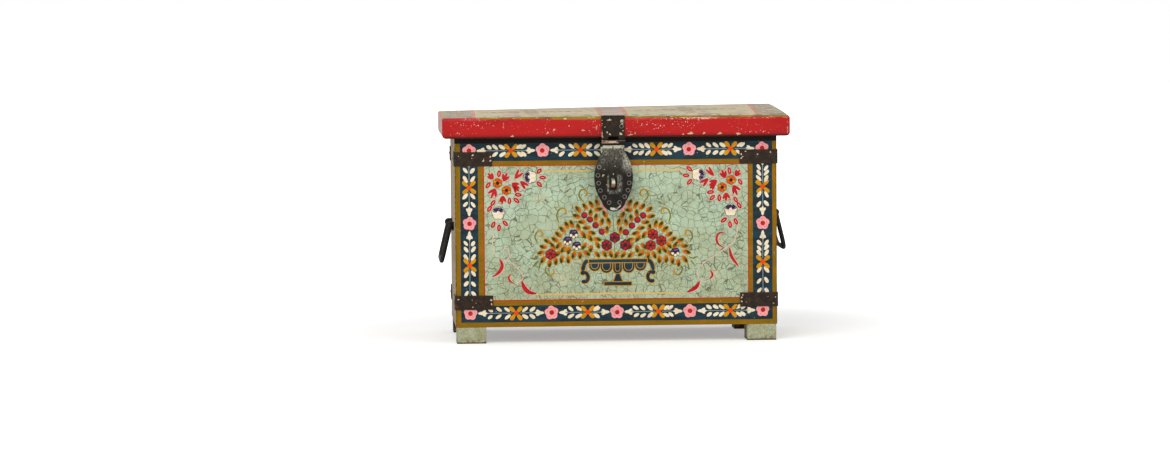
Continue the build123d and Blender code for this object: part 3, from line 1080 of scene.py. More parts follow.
@dataclass(frozen=True)
class RubbedIron(OldIron):
    """The hasp's hanging plate: the same iron, rubbed grey at its neck and tip and round its slot, with
    painted shade under its knuckle and in its slot, and painted highlights on its knuckle and on the left rim
    of its pad.
    """

    slot_half: tuple[float, float] = (4.2, 7.7)
    # knuckle: cream paint that is also a painted highlight
    knuckle: str = "#c3a58c"

    def make(self) -> bpy.types.Material:
        """Build the material.

        Returns:
            The finished material.
        """
        coat = Coat(self.name)
        axis_z = HASP_AXIS_Z
        shine = self.bright_mask(coat)
        barrel = coat.within("Z", axis_z - 3.2, math.inf, 0.3)
        # cream band on the knuckle: old paint that is also a painted highlight
        paint = coat.within("Z", axis_z - 1.4, axis_z + 1.5, 1.0)
        paint *= coat.cloud(3.0, 0.32, 0.48, (2.5, 1, 1), shift=self.shift + 8)
        # painted shadow under the knuckle
        gap = coat.within("Z", axis_z - 4.3, axis_z - 2.9, 0.7)
        half_width, half_height = self.slot_half
        slot = coat.within("X", HASP_X - half_width, HASP_X + half_width, 0.3)
        slot *= coat.within("Z", SLOT_Z - half_height, SLOT_Z + half_height, 0.3)
        dark = gap | slot
        ragged = coat.cloud(2.2, 0.38, 0.60, (1.6, 1, 1), shift=self.shift + 13)
        hem = coat.within("Z", axis_z - 7.8, axis_z - 4.2, 0.9) * ragged
        hem *= coat.within("X", HASP_X - 13.4, HASP_X + 13.4, 0.8)
        neck = coat.ramp(coat.axis("Z"), axis_z - 48.0, axis_z - 14.0)
        specks = coat.flecks(2.6, 0.5, 0.36, shift=self.shift + 14) * neck
        colour = coat.lay(
            self.black,
            (self.brown, coat.cloud(7.0, 0.44, 0.66, shift=self.shift)),
            (self.rust, self.rust_mask(coat)),
            (self.bright, shine),
            (self.brown, barrel),  # brown knuckle
            (self.knuckle, paint),
            ("#c2bda6", hem * 0.85),  # pale chips below the knuckle
            ("#c9c6b2", specks * 0.7),  # specks on the neck
            ("#cdcfbe", self.tip_mask(coat)),  # pale patch on the tip
            ("#0d0a07", dark),  # painted shade in the gap under the knuckle and in the slot
        )
        metal = shine * (1.0 - (dark | barrel))
        height = coat.cloud(4.0, 0.2, 0.8, shift=self.shift + 9, detail=6)
        return coat.close(colour, self.roughness, height, 0.3, metal * 0.7, 0.14)

    def bright_mask(self, coat: Coat) -> Mask:
        """Rubbed edges, grey metal where hands and the staple touch the plate, and a painted highlight on the
        pad's left rim.

        Args:
            coat: The material being built.

        Returns:
            The mask.
        """
        top = span("hasp_plate")[1].z - 6.5
        hem = coat.within("Z", top - 5.5, top, 4.0) * 0.7
        neck = coat.ramp(coat.axis("Z"), top - 40.0, top - 3.0, 0.26)
        flank = coat.ramp(coat.axis("X"), HASP_X + 7.0, HASP_X + 17.0, 0.75)
        flank *= coat.within("Z", top - 32.0, top - 8.0, 14.0)
        worn = hem | neck | self.pad_mask(coat) | flank
        mottle = coat.cloud(2.0, 0.32, 0.66, (1, 1, 1.6), shift=self.shift + 4, detail=6)
        worn *= mottle * 0.9 + 0.2
        return worn | super().bright_mask(coat)

    def tip_mask(self, coat: Coat) -> Mask:
        """A ragged pale patch on the plate's tip, with a streak that runs up to the right.

        Args:
            coat: The material being built.

        Returns:
            The mask.
        """
        low = span("hasp_plate")[0]
        patch = coat.within("Z", low.z + 1.6, low.z + 4.8, 2.2)
        patch *= coat.within("X", HASP_X - 4.6, HASP_X + 5.0, 3.4)
        slope = coat.axis("Z") - coat.axis("X") * 0.9
        start = low.z - 0.9 * (HASP_X + 5.0) + 3.6
        streak = coat.ramp(slope, start - 1.2, start) * coat.ramp(slope, start + 1.6, start + 0.6)
        streak *= coat.within("X", HASP_X + 4.0, HASP_X + 9.0, 1.6)
        ragged = coat.cloud(1.9, 0.30, 0.66, (1.4, 1, 1), shift=self.shift + 6, detail=5)
        return coat.ramp((patch | streak) * ragged, 0.16, 0.52, 0.92)

    def pad_mask(self, coat: Coat) -> Mask:
        """Where the raised pad round the slot is lighter: a painted highlight on its left rim, and rubbed
        metal at its foot and on its right half.

        Args:
            coat: The material being built.

        Returns:
            The mask.
        """
        height = coat.within("Z", SLOT_Z - 11.0, SLOT_Z + 10.5, 5.0)
        # painted highlight on the pad's left rim
        left = coat.within("X", HASP_X - 8.2, HASP_X - 6.2, 1.8) * 0.62
        right = coat.within("X", HASP_X + 4.6, HASP_X + 10.0, 5.0) * 0.56
        foot = coat.within("X", HASP_X - 7.0, HASP_X + 6.0, 4.0)
        foot *= coat.within("Z", SLOT_Z - 13.5, SLOT_Z - 9.5, 3.0)
        rubbed = coat.cloud(2.4, 0.26, 0.56, (1, 1, 1.4), shift=self.shift + 15, detail=5)
        sides = (left | right) * height * rubbed
        return sides | foot * 0.36


# --- Brushwork ---

class Touch(Enum):
    """How the width of a brush stroke changes from its start to its end."""

    LEAF = "pointed at both ends"
    PETAL = "full, with a blunt far end"
    DROP = "full at the far end and drawn out at the near one"
    COMMA = "full in its first half and drawn out to a tail"
    LINE = "even, with round ends"

    def width(self, share: float) -> float:
        """Width at a share of the stroke's length, as a part of its full width.

        Args:
            share: Place along the stroke, from 0 to 1.

        Returns:
            The width there.
        """
        if self is Touch.LEAF:
            return math.sin(math.pi * share) ** 0.75
        if self is Touch.PETAL:
            return math.sin(math.pi * share ** 1.2) ** 0.55
        if self is Touch.DROP:
            return (math.sin(math.pi * share ** 1.7)) ** 0.8
        if self is Touch.COMMA:
            return math.sin(math.pi * share ** 0.6) ** 0.9
        return min(1.0, 0.35 + 6 * min(share, 1 - share))


class Path:
    """A smooth line through a few points of a drawing."""

    def __init__(self, points: Iterable[Point]) -> None:
        """Keep the points that the line goes through."""
        self.points = [Vector(p) for p in points]

    def at(self, share: float) -> Vector:
        """The place at a share of the line, from 0 to 1.

        Args:
            share: How far along it is.

        Returns:
            The place.
        """
        last = len(self.points) - 1
        step = min(int(share * last), last - 1)
        t = share * last - step
        before, start, end, after = (self.points[min(max(step + i, 0), last)] for i in (-1, 0, 1, 2))
        return (start * 2 + (end - before) * t + (before * 2 - start * 5 + end * 4 - after) * t * t
                + (start * 3 - before - end * 3 + after) * t ** 3) / 2

    def aside(self, share: float) -> Vector:
        """The direction to the left of the line there."""
        ahead = self.at(min(share + 0.01, 1.0)) - self.at(max(share - 0.01, 0.0))
        return Vector((-ahead.y, ahead.x)).normalized()


def heading(turn: float) -> Vector:
    """A direction, given in degrees anticlockwise from the drawing's right."""
    return Vector((math.cos(math.radians(turn)), math.sin(math.radians(turn))))


def toward(start: Point, turn: float, reach: float) -> Point:
    """The place that far from the start in a direction, in degrees."""
    angle = math.radians(turn)
    return start[0] + reach * math.cos(angle), start[1] + reach * math.sin(angle)


def along(start: Point, turn: float, length: float) -> list[Point]:
    """Both ends of a straight stroke that is centred on a place.

    Args:
        start: The middle of the stroke.
        turn: Its direction in degrees, anticlockwise from the drawing's right.
        length: Its length.

    Returns:
        The near and the far end.
    """
    half = heading(turn) * length / 2
    middle = Vector(start)
    return [tuple(middle - half), tuple(middle + half)]


@dataclass(frozen=True)
class Ground:
    """A painted face of the chest: how a place in its drawing becomes a place in space."""

    body: str
    slot: str
    place: Callable[[float, float, float], Vector]
    tremble: float = 0.3  # how unsteady the painter's hand is

    def lift(self, u: float, v: float, rise: float) -> Vector:
        """A place in space, in metres, that lies that far in front of the face."""
        shake = noise.noise_vector(Vector((u, v, 0)) / 17) * self.tremble
        return self.place(u + shake.x, v + shake.y, rise) * MM


class Skin:
    """The outer face of some solids, on which paint and rings are seated."""

    FAR = 700.0  # where the looks start, well outside the chest

    def __init__(self, names: Iterable[str], beside: float, from_above: bool = False) -> None:
        """Gather the solids.

        Args:
            names: The solids whose face it is.
            beside: Where the face is taken to be just past its edges: y from the front, z from above.
            from_above: True to look down at it, and False to look at it from the front.
        """
        shape = bmesh.new()
        for name in names:
            shape.from_mesh(frame["nodes"][name].data)
        self.tree = BVHTree.FromBMesh(shape)
        shape.free()
        self.beside, self.from_above = beside, from_above

    def place(self, u: float, v: float, rise: float) -> Vector:
        """A place that far outside the face, in millimetres.

        Args:
            u: Its x.
            v: Its z on a face seen from the front, and its y on one seen from above.
            rise: How far it lies outside the face.

        Returns:
            The place.
        """
        start = Vector((u, v, self.FAR)) if self.from_above else Vector((u, -self.FAR, v))
        look = Vector((0, 0, -1)) if self.from_above else Vector((0, 1, 0))
        met = self.tree.ray_cast(start * MM, look)[0]
        if self.from_above:
            return Vector((u, v, (met.z / MM if met else self.beside) + rise))
        return Vector((u, (met.y / MM if met else self.beside) - rise, v))


class Layer:
    """One colour of a motif, laid down as a thin film of paint with real thickness."""

    FILM = 0.06  # thickness that each level adds
    SUNK = 0.02  # how far a film reaches into what lies under it
    STEP = 0.006  # how much higher each dab lies than the one before, up to DABS of them
    DABS = 9

    def __init__(self, name: str, ground: Ground, paint: bpy.types.Material, level: int) -> None:
        """Start an empty film.

        Args:
            name: The piece's name.
            ground: The face that it is painted on.
            paint: Its material.
            level: 1 straight on the board, 2 over that, and so on.
        """
        self.name, self.ground, self.paint, self.level = name, ground, paint, level
        self.bm = bmesh.new()
        self.count = 0

    def rise(self) -> float:
        """Height of the next dab over the film's own level, so that crossing dabs don't coincide."""
        self.count += 1
        return self.count % self.DABS * self.STEP

    def stroke(self, points: Iterable[Point], width: float, touch: Touch = Touch.LINE,
               parts: int = 0) -> None:
        """Draw one stroke of the brush.

        Args:
            points: Places that its middle line goes through.
            width: Its full width.
            touch: How the width changes along it.
            parts: Number of steps along it, or 0 to suit the points.
        """
        path = Path(points)
        parts = parts or (8 if len(path.points) == 2 else 6 * (len(path.points) - 1))
        rise = self.rise()
        made = bmesh.ops.create_grid(self.bm, x_segments=parts, y_segments=1, size=1)
        for vert in made["verts"]:
            share = (vert.co.x + 1) / 2
            side = vert.co.y * width / 2 * touch.width(share)
            place = path.at(share) + path.aside(share) * side
            vert.co = (place.x, place.y, rise)

    def disc(self, centre: Point, radius: float, lobes: int = 0, depth: float = 0.0,
             turn: float = 90.0) -> None:
        """Draw a round dab, or a flower with that many petals.

        Args:
            centre: Its middle.
            radius: Its outer radius.
            lobes: Number of petals.
            depth: How deep the notches between them are, as a part of the radius.
            turn: Direction of the first petal, in degrees.
        """
        rise = self.rise()
        segments = max(14, 8 * lobes)
        made = bmesh.ops.create_circle(self.bm, cap_ends=True, cap_tris=True, segments=segments, radius=1)
        for vert in made["verts"]:
            if vert.co.length > 0.5:
                angle = math.atan2(vert.co.y, vert.co.x) - math.radians(turn)
                vert.co *= radius * (1 - depth * (1 - abs(math.cos(lobes * angle / 2))) if lobes else 1)
            vert.co += Vector((*centre, rise))

    def block(self, u0: float, u1: float, v0: float, v1: float, step: float = 8.0) -> None:
        """Draw a rectangle.

        Args:
            u0: Its left side.
            u1: Its right side.
            v0: Its lower side.
            v1: Its upper side.
            step: About how far apart its vertices are.
        """
        rise = self.rise()
        across, up = max(1, round((u1 - u0) / step)), max(1, round((v1 - v0) / step))
        made = bmesh.ops.create_grid(self.bm, x_segments=across, y_segments=up, size=1)
        for vert in made["verts"]:
            vert.co = (u0 + (u1 - u0) * (vert.co.x + 1) / 2, v0 + (v1 - v0) * (vert.co.y + 1) / 2, rise)

    def frame(self, outer: Sequence[float], inner: Sequence[float], cuts: int = 40) -> None:
        """Draw a band round a rectangle.

        Args:
            outer: Left, right, bottom and top of its outer edge.
            inner: The same of its inner edge.
            cuts: Number of cuts in each side, which let it tremble.
        """
        edges = []
        for left, right, low, high in (outer, inner):
            made = bmesh.ops.create_circle(self.bm, segments=4, radius=1)
            corners = ((left, low), (right, low), (right, high), (left, high))
            for vert, corner in zip(made["verts"], corners):
                vert.co = (*corner, 0)
            sides = list(dict.fromkeys(edge for vert in made["verts"] for edge in vert.link_edges))
            split = bmesh.ops.subdivide_edges(self.bm, edges=sides, cuts=cuts)
            parts = split["geom_inner"] + split["geom_split"]
            edges += [part for part in parts if isinstance(part, bmesh.types.BMEdge)]
        bmesh.ops.bridge_loops(self.bm, edges=list(dict.fromkeys(edges)))

    def finish(self) -> bpy.types.Object:
        """Give the film its thickness, put it on its face and make it ride on its body.

        Returns:
            The finished piece.
        """
        bm = self.bm
        bmesh.ops.remove_doubles(bm, verts=bm.verts, dist=self.STEP / 2)
        low = (self.level - 1) * self.FILM - self.SUNK
        made = bmesh.ops.extrude_face_region(bm, geom=bm.faces[:])
        for part in made["geom"]:
            if isinstance(part, bmesh.types.BMVert):
                part.co.z += self.FILM + self.SUNK
        for vert in bm.verts:
            vert.co = self.ground.lift(vert.co.x, vert.co.y, vert.co.z + low)
        bmesh.ops.recalc_face_normals(bm, faces=bm.faces)
        return piece(self.name, bm, self.paint, self.ground.body, self.ground.slot)


def piece(name: str, bm: bmesh.types.BMesh, material: bpy.types.Material, body: str,
          slot: str) -> bpy.types.Object:
    """Turn a bmesh into a piece of the chest that rides on a body.

    Args:
        name: Its name.
        bm: Its mesh, in metres and in place.
        material: Its finish.
        body: The body that it moves with.
        slot: Not used.

    Returns:
        The new object.
    """
    mesh = bpy.data.meshes.new(name)
    bm.to_mesh(mesh)
    bm.free()
    mesh.materials.append(material)
    made = bpy.data.objects.new(name, mesh)
    bpy.context.scene.collection.objects.link(made)
    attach(made, body)
    log.info("piece %s: %d faces on %s", name, len(mesh.polygons), body)
    return made


# --- The painter's colours ---

class Pigment(Enum):
    """The colours of the painted ornament."""

    NAVY = OilPaint("navy oil paint", "#172830", "#1f3a48", "#8fa09a", loss_share=0.35, loss_radius=0.7,
                    crack_strength=0.1)
    RED = OilPaint("red oil paint", "#c22124", "#ab1a1f", "#e6cfc0", shift=200)
    SCARLET = OilPaint("scarlet oil paint", "#c8361f", "#b02a20", "#e6cfc0", shift=210)
    CREAM = OilPaint("cream oil paint", "#f5e9cc", "#efd9b4", "#c7b58e", crack="#8b8468", shift=220)
    ROSE = OilPaint("rose oil paint", "#fba8a6", "#f39c9e", "#f2c9c6", crack="#a07070", crack_strength=0.35,
                    shift=230)
    CRIMSON = OilPaint("crimson oil paint", "#b81d2a", "#a81a27", "#e6cfc0", shift=240)
    OCHRE = OilPaint("ochre oil paint", "#d8970a", "#c28708", "#e8d9a8", shift=250)
    VERMILION = OilPaint("vermilion oil paint", "#f0500c", "#de480c", "#f0c8a0", shift=260)
    ORANGE = OilPaint("orange oil paint", "#d2601c", "#c8521c", "#e8b880", shift=270)
    GREEN = OilPaint("dark green oil paint", "#274a1c", "#1f3d1a", "#6f8f5a", shift=280)
    GOLD = OilPaint("gold-coloured oil paint", "#c9930f", "#b5820c", "#e0cf98", shift=290)
    OLIVE = OilPaint("olive oil paint", "#7f7a1e", "#6b7020", "#b8b080", shift=300)
    BLUSH = OilPaint("pale pink oil paint", "#dcb8a4", "#ddc3ae", "#efe0d0", shift=310)
    YELLOW = OilPaint("pale yellow oil paint", "#e0b868", "#d8b470", "#c5c8a0", loss_share=0.4,
                      loss_radius=1.0, shift=320)
    BLACK = OilPaint("brown-black oil paint", "#2a1c1a", "#241a20", "#8a7f70", shift=330)
    PLUM = OilPaint("plum oil paint", "#2c1f3c", "#35254a", "#8a7f90", shift=340)
    MAUVE = OilPaint("mauve oil paint", "#77608f", "#6d5688", "#c0b0c8", shift=350)
    WINE = OilPaint("wine red oil paint", "#7c1a2c", "#6b182a", "#c89090", shift=360)
    IVORY = OilPaint("old cream paint", "#cdb792", "#c3a684", "#dccdae", shift=390)
    DUSK = OilPaint("dusky pink oil paint", "#d58289", "#c9787e", "#efc0c0", shift=380)
    STEM = OilPaint("grey-blue oil paint", "#8c9798", "#7a8a90", "#c0c8c0", shift=370)
    WORN_ROSE = OilPaint("worn rose oil paint", "#cb9c94", "#c6a79b", "#d2c6ae", wear=0.45, shift=500)
    WORN_RED = OilPaint("worn red oil paint", "#b37064", "#bb8474", "#d2c6ae", wear=0.5, shift=510)
    WORN_CREAM = OilPaint("worn cream oil paint", "#d9cdb0", "#cfc0a2", "#b3a990", wear=0.4, shift=520)
    WORN_GREEN = OilPaint("worn green oil paint", "#7d8468", "#8b8f72", "#c0b79a", wear=0.55, shift=530)
    WORN_OCHRE = OilPaint("worn ochre oil paint", "#b8985a", "#b59f6c", "#d2c6ae", wear=0.5, shift=540)


class Palette:
    """Builds each colour once, when it is first used."""

    def __init__(self) -> None:
        """Start with clean pots."""
        self.pots: dict[Pigment, bpy.types.Material] = {}

    def __getitem__(self, pigment: Pigment) -> bpy.types.Material:
        """The material of a colour.

        Args:
            pigment: The colour.

        Returns:
            Its material.
        """
        if pigment not in self.pots:
            self.pots[pigment] = pigment.value.make()
        return self.pots[pigment]


@dataclass
class Motif:
    """A part of the ornament, made of layers of single colours on one face."""

    ground: Ground
    palette: Palette
    name: str = ""  # what its pieces' names begin with
    seed: int = 1  # fixes the small differences between repeats

    def __post_init__(self) -> None:
        """Start without paint."""
        self.layers: dict[tuple[Pigment, int], Layer] = {}
        self.chance = random.Random(self.seed)

    def ink(self, pigment: Pigment, level: int) -> Layer:
        """The layer of a colour at a level.

        Args:
            pigment: The colour.
            level: 1 straight on the board, 2 over that, and so on.

        Returns:
            The layer.
        """
        key = (pigment, level)
        if key not in self.layers:
            name = f"{self.name}_{pigment.name.lower()}_{level}"
            self.layers[key] = Layer(name, self.ground, self.palette[pigment], level)
        return self.layers[key]

    def vary(self, amount: float) -> float:
        """A small difference either way."""
        return self.chance.uniform(-amount, amount)

    def finish(self) -> None:
        """Turn all layers to pieces."""
        for layer in self.layers.values():
            layer.finish()


# --- The painted front ---

@dataclass
class FrontBands(Motif):
    """The bands round the front: navy between two mustard ones, a red line, and the green panel."""

    name: str = "front_band"
    navy_out: tuple[float, float, float, float] = (-202, 203, 27.4, 259.4)
    navy_in: tuple[float, float, float, float] = (-179, 177.6, 49, 236.4)
    line_out: tuple[float, float, float, float] = (-172.4, 172.4, 55, 230.8)
    line_in: tuple[float, float, float, float] = (-170.8, 171, 56.5, 229.4)

    def build(self) -> None:
        """Paint the bands and the panel."""
        self.ink(Pigment.NAVY, 1).frame(self.navy_out, self.navy_in)
        self.ink(Pigment.SCARLET, 1).frame(self.line_out, self.line_in)
        self.finish()
        panel = Layer("front_green_panel", self.ground, CrackledGround().make(), 1)
        panel.block(*self.line_in)
        panel.finish()


@dataclass
class FlowerRows(Motif):
    """Pink and mustard flowers in rows, joined by cream sprigs."""

    petal: Pigment = Pigment.ROSE
    touch: Pigment = Pigment.DUSK
    heart: Pigment = Pigment.RED
    mustard: Pigment = Pigment.OCHRE
    middle: Pigment = Pigment.VERMILION
    leaf: Pigment = Pigment.CREAM
    stem: Pigment = Pigment.STEM
    pink_radius: float = 8.9
    touch_reach: float = 5.5  # from a pink flower's middle to the dark touch on each petal
    heart_radius: float = 3.1
    mustard_reach: float = 6.8  # from a mustard flower's middle to the middle of each petal
    mustard_petal: Point = (9.4, 5.4)  # its length and width
    mustard_heart: float = 3.3
    leaf_reach: float = 4.7  # how far a leaf's middle lies beside its stem
    leaf_size: Point = (9.6, 4.4)
    leaf_lean: float = 36.0  # degrees between leaf and stem
    arrow: float = 12.5  # length of a sprig's tip

    def row(self, places: list[Point], crosses: Sequence[float], axis: int) -> None:
        """Join each mustard flower to its two neighbours with sprigs.

        Args:
            places: The flowers' middles, in order.
            crosses: Where the mustard ones are along the row.
            axis: 0 for a level row and 1 for an upright one.
        """
        for first, second in zip(places, places[1:]):
            if first[axis] in crosses:
                self.sprig(first, second)
            else:
                self.sprig(second, first)

    def pink_flower(self, centre: Point) -> None:
        """Five round petals with a dark touch on each, and a red heart.

        Args:
            centre: Its middle.
        """
        tilt = 90 + self.vary(8)
        radius = self.pink_radius + self.vary(0.3)
        self.ink(self.petal, 2).disc(centre, radius, 5, 0.2, tilt)
        for i in range(5):
            turn = tilt + 72 * i + self.vary(8)
            place = toward(centre, turn, self.touch_reach)
            self.ink(self.touch, 3).stroke(along(place, turn + 90, 2.4), 0.9, Touch.LEAF)
        heart = (centre[0] + self.vary(0.6), centre[1] + self.vary(0.6))
        self.ink(self.heart, 3).disc(heart, self.heart_radius)

    def cross_flower(self, centre: Point) -> None:
        """Four mustard petals and an orange heart.

        Args:
            centre: Its middle.
        """
        for quarter in range(4):
            turn = 45 + 90 * quarter + self.vary(6)
            place = toward(centre, turn, self.mustard_reach + self.vary(0.3))
            length, width = self.mustard_petal
            self.ink(self.mustard, 2).stroke(along(place, turn, length), width, Touch.PETAL)
        self.ink(self.middle, 3).disc(centre, self.mustard_heart, 4, 0.12, 45)

    def sprig(self, start: Point, end: Point) -> None:
        """A stem with pairs of leaves, and an arrow-shaped tip that points at the next pink flower.

        Args:
            start: Middle of the flower that it grows from.
            end: Middle of the flower that it points at.
        """
        run = Vector(end) - Vector(start)
        ahead = run.normalized()
        aside = Vector((-ahead.y, ahead.x))
        turn = math.degrees(math.atan2(run.y, run.x))
        tip = run.length - self.pink_radius - 0.6
        cream = self.ink(self.leaf, 2)
        stem = [tuple(Vector(start) + ahead * s) for s in (4.0, tip - 8.0)]
        self.ink(self.stem, 2).stroke(stem, 1.0)
        first, last = 11.0, tip - self.arrow - 3.2
        pairs = 3 if last - first > 13 else 2
        for i in range(pairs):
            place = first + (last - first) * i / (pairs - 1)
            for side in (-1, 1):
                lean = turn + side * (self.leaf_lean + self.vary(8))
                middle = Vector(start) + ahead * (place + self.vary(0.8))
                middle += aside * side * (self.leaf_reach + self.vary(0.3))
                size = self.leaf_size[0] - 0.7 * i + self.vary(0.7)
                touch = Touch.PETAL if self.chance.random() < 0.5 else Touch.LEAF
                width = self.leaf_size[1] + self.vary(0.5)
                cream.stroke(along(tuple(middle), lean, size), width, touch)
        middle = Vector(start) + ahead * (tip - self.arrow / 2)
        cream.stroke(along(tuple(middle), turn, self.arrow), self.leaf_size[1], Touch.LEAF)
        for side in (-1, 1):
            barb = Vector(start) + ahead * (tip - self.arrow * 0.62) + aside * side * 1.9
            cream.stroke(along(tuple(barb), turn + side * 146, 6.2), 3.4, Touch.LEAF)


@dataclass
class FloralBorder(FlowerRows):
    """The rows of flowers on the navy band round the front."""

    name: str = "border"
    seed: int = 5
    pink_top: tuple[float, ...] = (-190, -95, 95, 190)
    pink_low: tuple[float, ...] = (-190, -85, 0, 95, 190)
    cross_top: tuple[float, ...] = (-136, -46, 52.5, 149)
    cross_low: tuple[float, ...] = (-131, -38, 54, 148)
    left_side: Triple = (101.7, 155.8, 202.5)
    right_side: Triple = (102.2, 152.8, 200.2)
    top: float = 249.8
    low: float = 39.2
    side: float = 190.5

    def build(self) -> None:
        """Paint the border."""
        for z, pinks, crosses in ((self.top, self.pink_top, self.cross_top),
                                  (self.low, self.pink_low, self.cross_low)):
            for x in pinks:
                self.pink_flower((x, z))
            for x in crosses:
                self.cross_flower((x, z))
            hidden = (0.0,) if z == self.top else ()  # the flower behind the hasp isn't painted
            self.row([(x, z) for x in sorted(pinks + crosses + hidden)], crosses, 0)
        for x, (first, middle, last) in ((-self.side, self.left_side), (self.side, self.right_side)):
            self.pink_flower((x, middle))
            for z in (first, last):
                self.cross_flower((x, z))
            self.row([(x, z) for z in (self.low, first, middle, last, self.top)], (first, last), 1)
        self.finish()


@dataclass
class CornerSprays(Motif):
    """A spray of red leaves with orange flowers and purple buds in each upper corner of the panel."""

    name: str = "spray"
    seed: int = 9
    mirror: float = -7.0  # a place x on the left is at this minus x on the right
    singles: tuple[Triple, ...] = (
        (-153, 220, 82), (-167, 205.4, 58), (-128.3, 192.4, 358), (-139.7, 184.8, 84), (-130.5, 185.2, 322),
        (-161, 182.5, 238), (-165.5, 175, 234), (-101, 223, 42), (-96.5, 214.5, 358), (-101, 206, 312),
        (-161, 154, 244), (-153.5, 150, 266), (-145.5, 156, 318),
    )
    fans: tuple[tuple[float, float, float, float, int], ...] = (
        (-160.5, 213, 128, 10.5, 3), (-147.5, 210.4, 66, 12.5, 3), (-132.7, 213.3, 50, 14, 2),
        (-157.7, 201, 242, 14.5, 3), (-136.4, 207.7, 326, 12.5, 3), (-125.4, 210.2, 318, 12.5, 2),
        (-148.5, 191.5, 268, 11.5, 3), (-133.5, 203.5, 300, 9, 2),
    )
    flowers: Points = ((-155, 208), (-143.5, 198.5))
    buds: tuple[Triple, ...] = ((-112.5, 215.5, 180), (-154.5, 169, 90))
    stems: tuple[Points, ...] = (
        ((-156, 174), (-155, 188), (-149, 202), (-136, 212), (-119, 216)),
        ((-158, 147), (-155, 160), (-156, 174)),
    )

    leaf_length: float = 9.6
    leaf_widths: Point = (6.4, 5.2)  # of its cream edge and of the red
    fan_widths: Point = (4.9, 3.5)
    flower_radius: float = 6.7
    bud_radius: float = 8.9

    def build(self) -> None:
        """Paint both sprays."""
        for hand in (1, -1):
            place = self.placer(hand)
            for points in self.stems:
                self.ink(Pigment.BLUSH, 2).stroke([place(p) for p in points], 1.1)
            for x, z, turn in self.singles:
                self.leaf(place((x, z)), turn if hand == 1 else 180 - turn)
            for x, z, turn, length, count in self.fans:
                self.fan(place((x, z)), turn if hand == 1 else 180 - turn, length, count)
            for flower in self.flowers:
                self.flower(place(flower))
            for x, z, turn in self.buds:
                self.bud(place((x, z)), turn if hand == 1 else 180 - turn)
        self.finish()

    def placer(self, hand: int) -> Callable[[Point], Point]:
        """How a place on the left moves to this side."""
        return (lambda p: p) if hand == 1 else (lambda p: (self.mirror - p[0], p[1] + 1.0))

    def leaf(self, centre: Point, turn: float) -> None:
        """A red leaf with a cream edge and a pale slit.

        Args:
            centre: Its middle.
            turn: Its direction in degrees.
        """
        turn += self.vary(5)
        length = self.leaf_length + self.vary(0.6)
        self.ink(Pigment.BLUSH, 2).stroke(along(centre, turn, length + 1.6), self.leaf_widths[0], Touch.LEAF)
        self.ink(Pigment.RED, 3).stroke(along(centre, turn, length), self.leaf_widths[1], Touch.LEAF)
        self.ink(Pigment.BLUSH, 4).stroke(along(centre, turn, length * 0.5), 0.8, Touch.LEAF)

    def fan(self, foot: Point, turn: float, length: float, count: int) -> None:
        """Red strokes that spread from one foot, with cream between them.

        Args:
            foot: Where they meet.
            turn: Direction of the middle one in degrees.
            length: Length of the longest.
            count: How many there are.
        """
        for i in range(count):
            spread = turn + 27 * (i - (count - 1) / 2) + self.vary(4)
            reach = length * (1.0 if count == 2 or i == 1 else 0.82)
            middle = toward(foot, spread, reach / 2)
            edge, red = self.fan_widths
            self.ink(Pigment.BLUSH, 2).stroke(along(middle, spread, reach + 1.8), edge, Touch.LEAF)
            self.ink(Pigment.RED, 3).stroke(along(middle, spread, reach), red, Touch.LEAF)

    def flower(self, centre: Point) -> None:
        """Six orange petals round a dark heart.

        Args:
            centre: Its middle.
        """
        self.ink(Pigment.OLIVE, 2).disc(centre, self.flower_radius, 6, 0.12)
        self.ink(Pigment.ORANGE, 3).disc(centre, self.flower_radius - 0.7, 6, 0.14)
        for i in range(6):
            petal, notch = 60 * i + 90, 60 * i + 120
            pigment = Pigment.OCHRE if i % 3 == 1 else Pigment.VERMILION
            self.ink(pigment, 4).disc(toward(centre, petal, 4.0), 1.7)
            self.ink(Pigment.BLACK, 4).stroke(along(toward(centre, notch, 4.4), notch, 3.4), 0.5, Touch.LEAF)
        self.ink(Pigment.BLACK, 5).disc(centre, 2.5, 6, 0.3)

    def bud(self, centre: Point, turn: float) -> None:
        """A cream bud whose back half is streaked with purple.

        Args:
            centre: Its middle.
            turn: Direction of its back in degrees.
        """
        self.ink(Pigment.BLACK, 2).disc(centre, self.bud_radius, 5, 0.16, turn)
        self.ink(Pigment.CREAM, 3).disc(centre, self.bud_radius - 0.6, 5, 0.18, turn)
        for i in range(9):
            spread = turn + 17 * (i - 4)
            pigment = Pigment.MAUVE if i in (0, 3, 8) else Pigment.PLUM
            streak = along(toward(centre, spread, 5.2), spread, 5.6 + self.vary(0.9))
            self.ink(pigment, 4).stroke(streak, 2.3, Touch.PETAL)


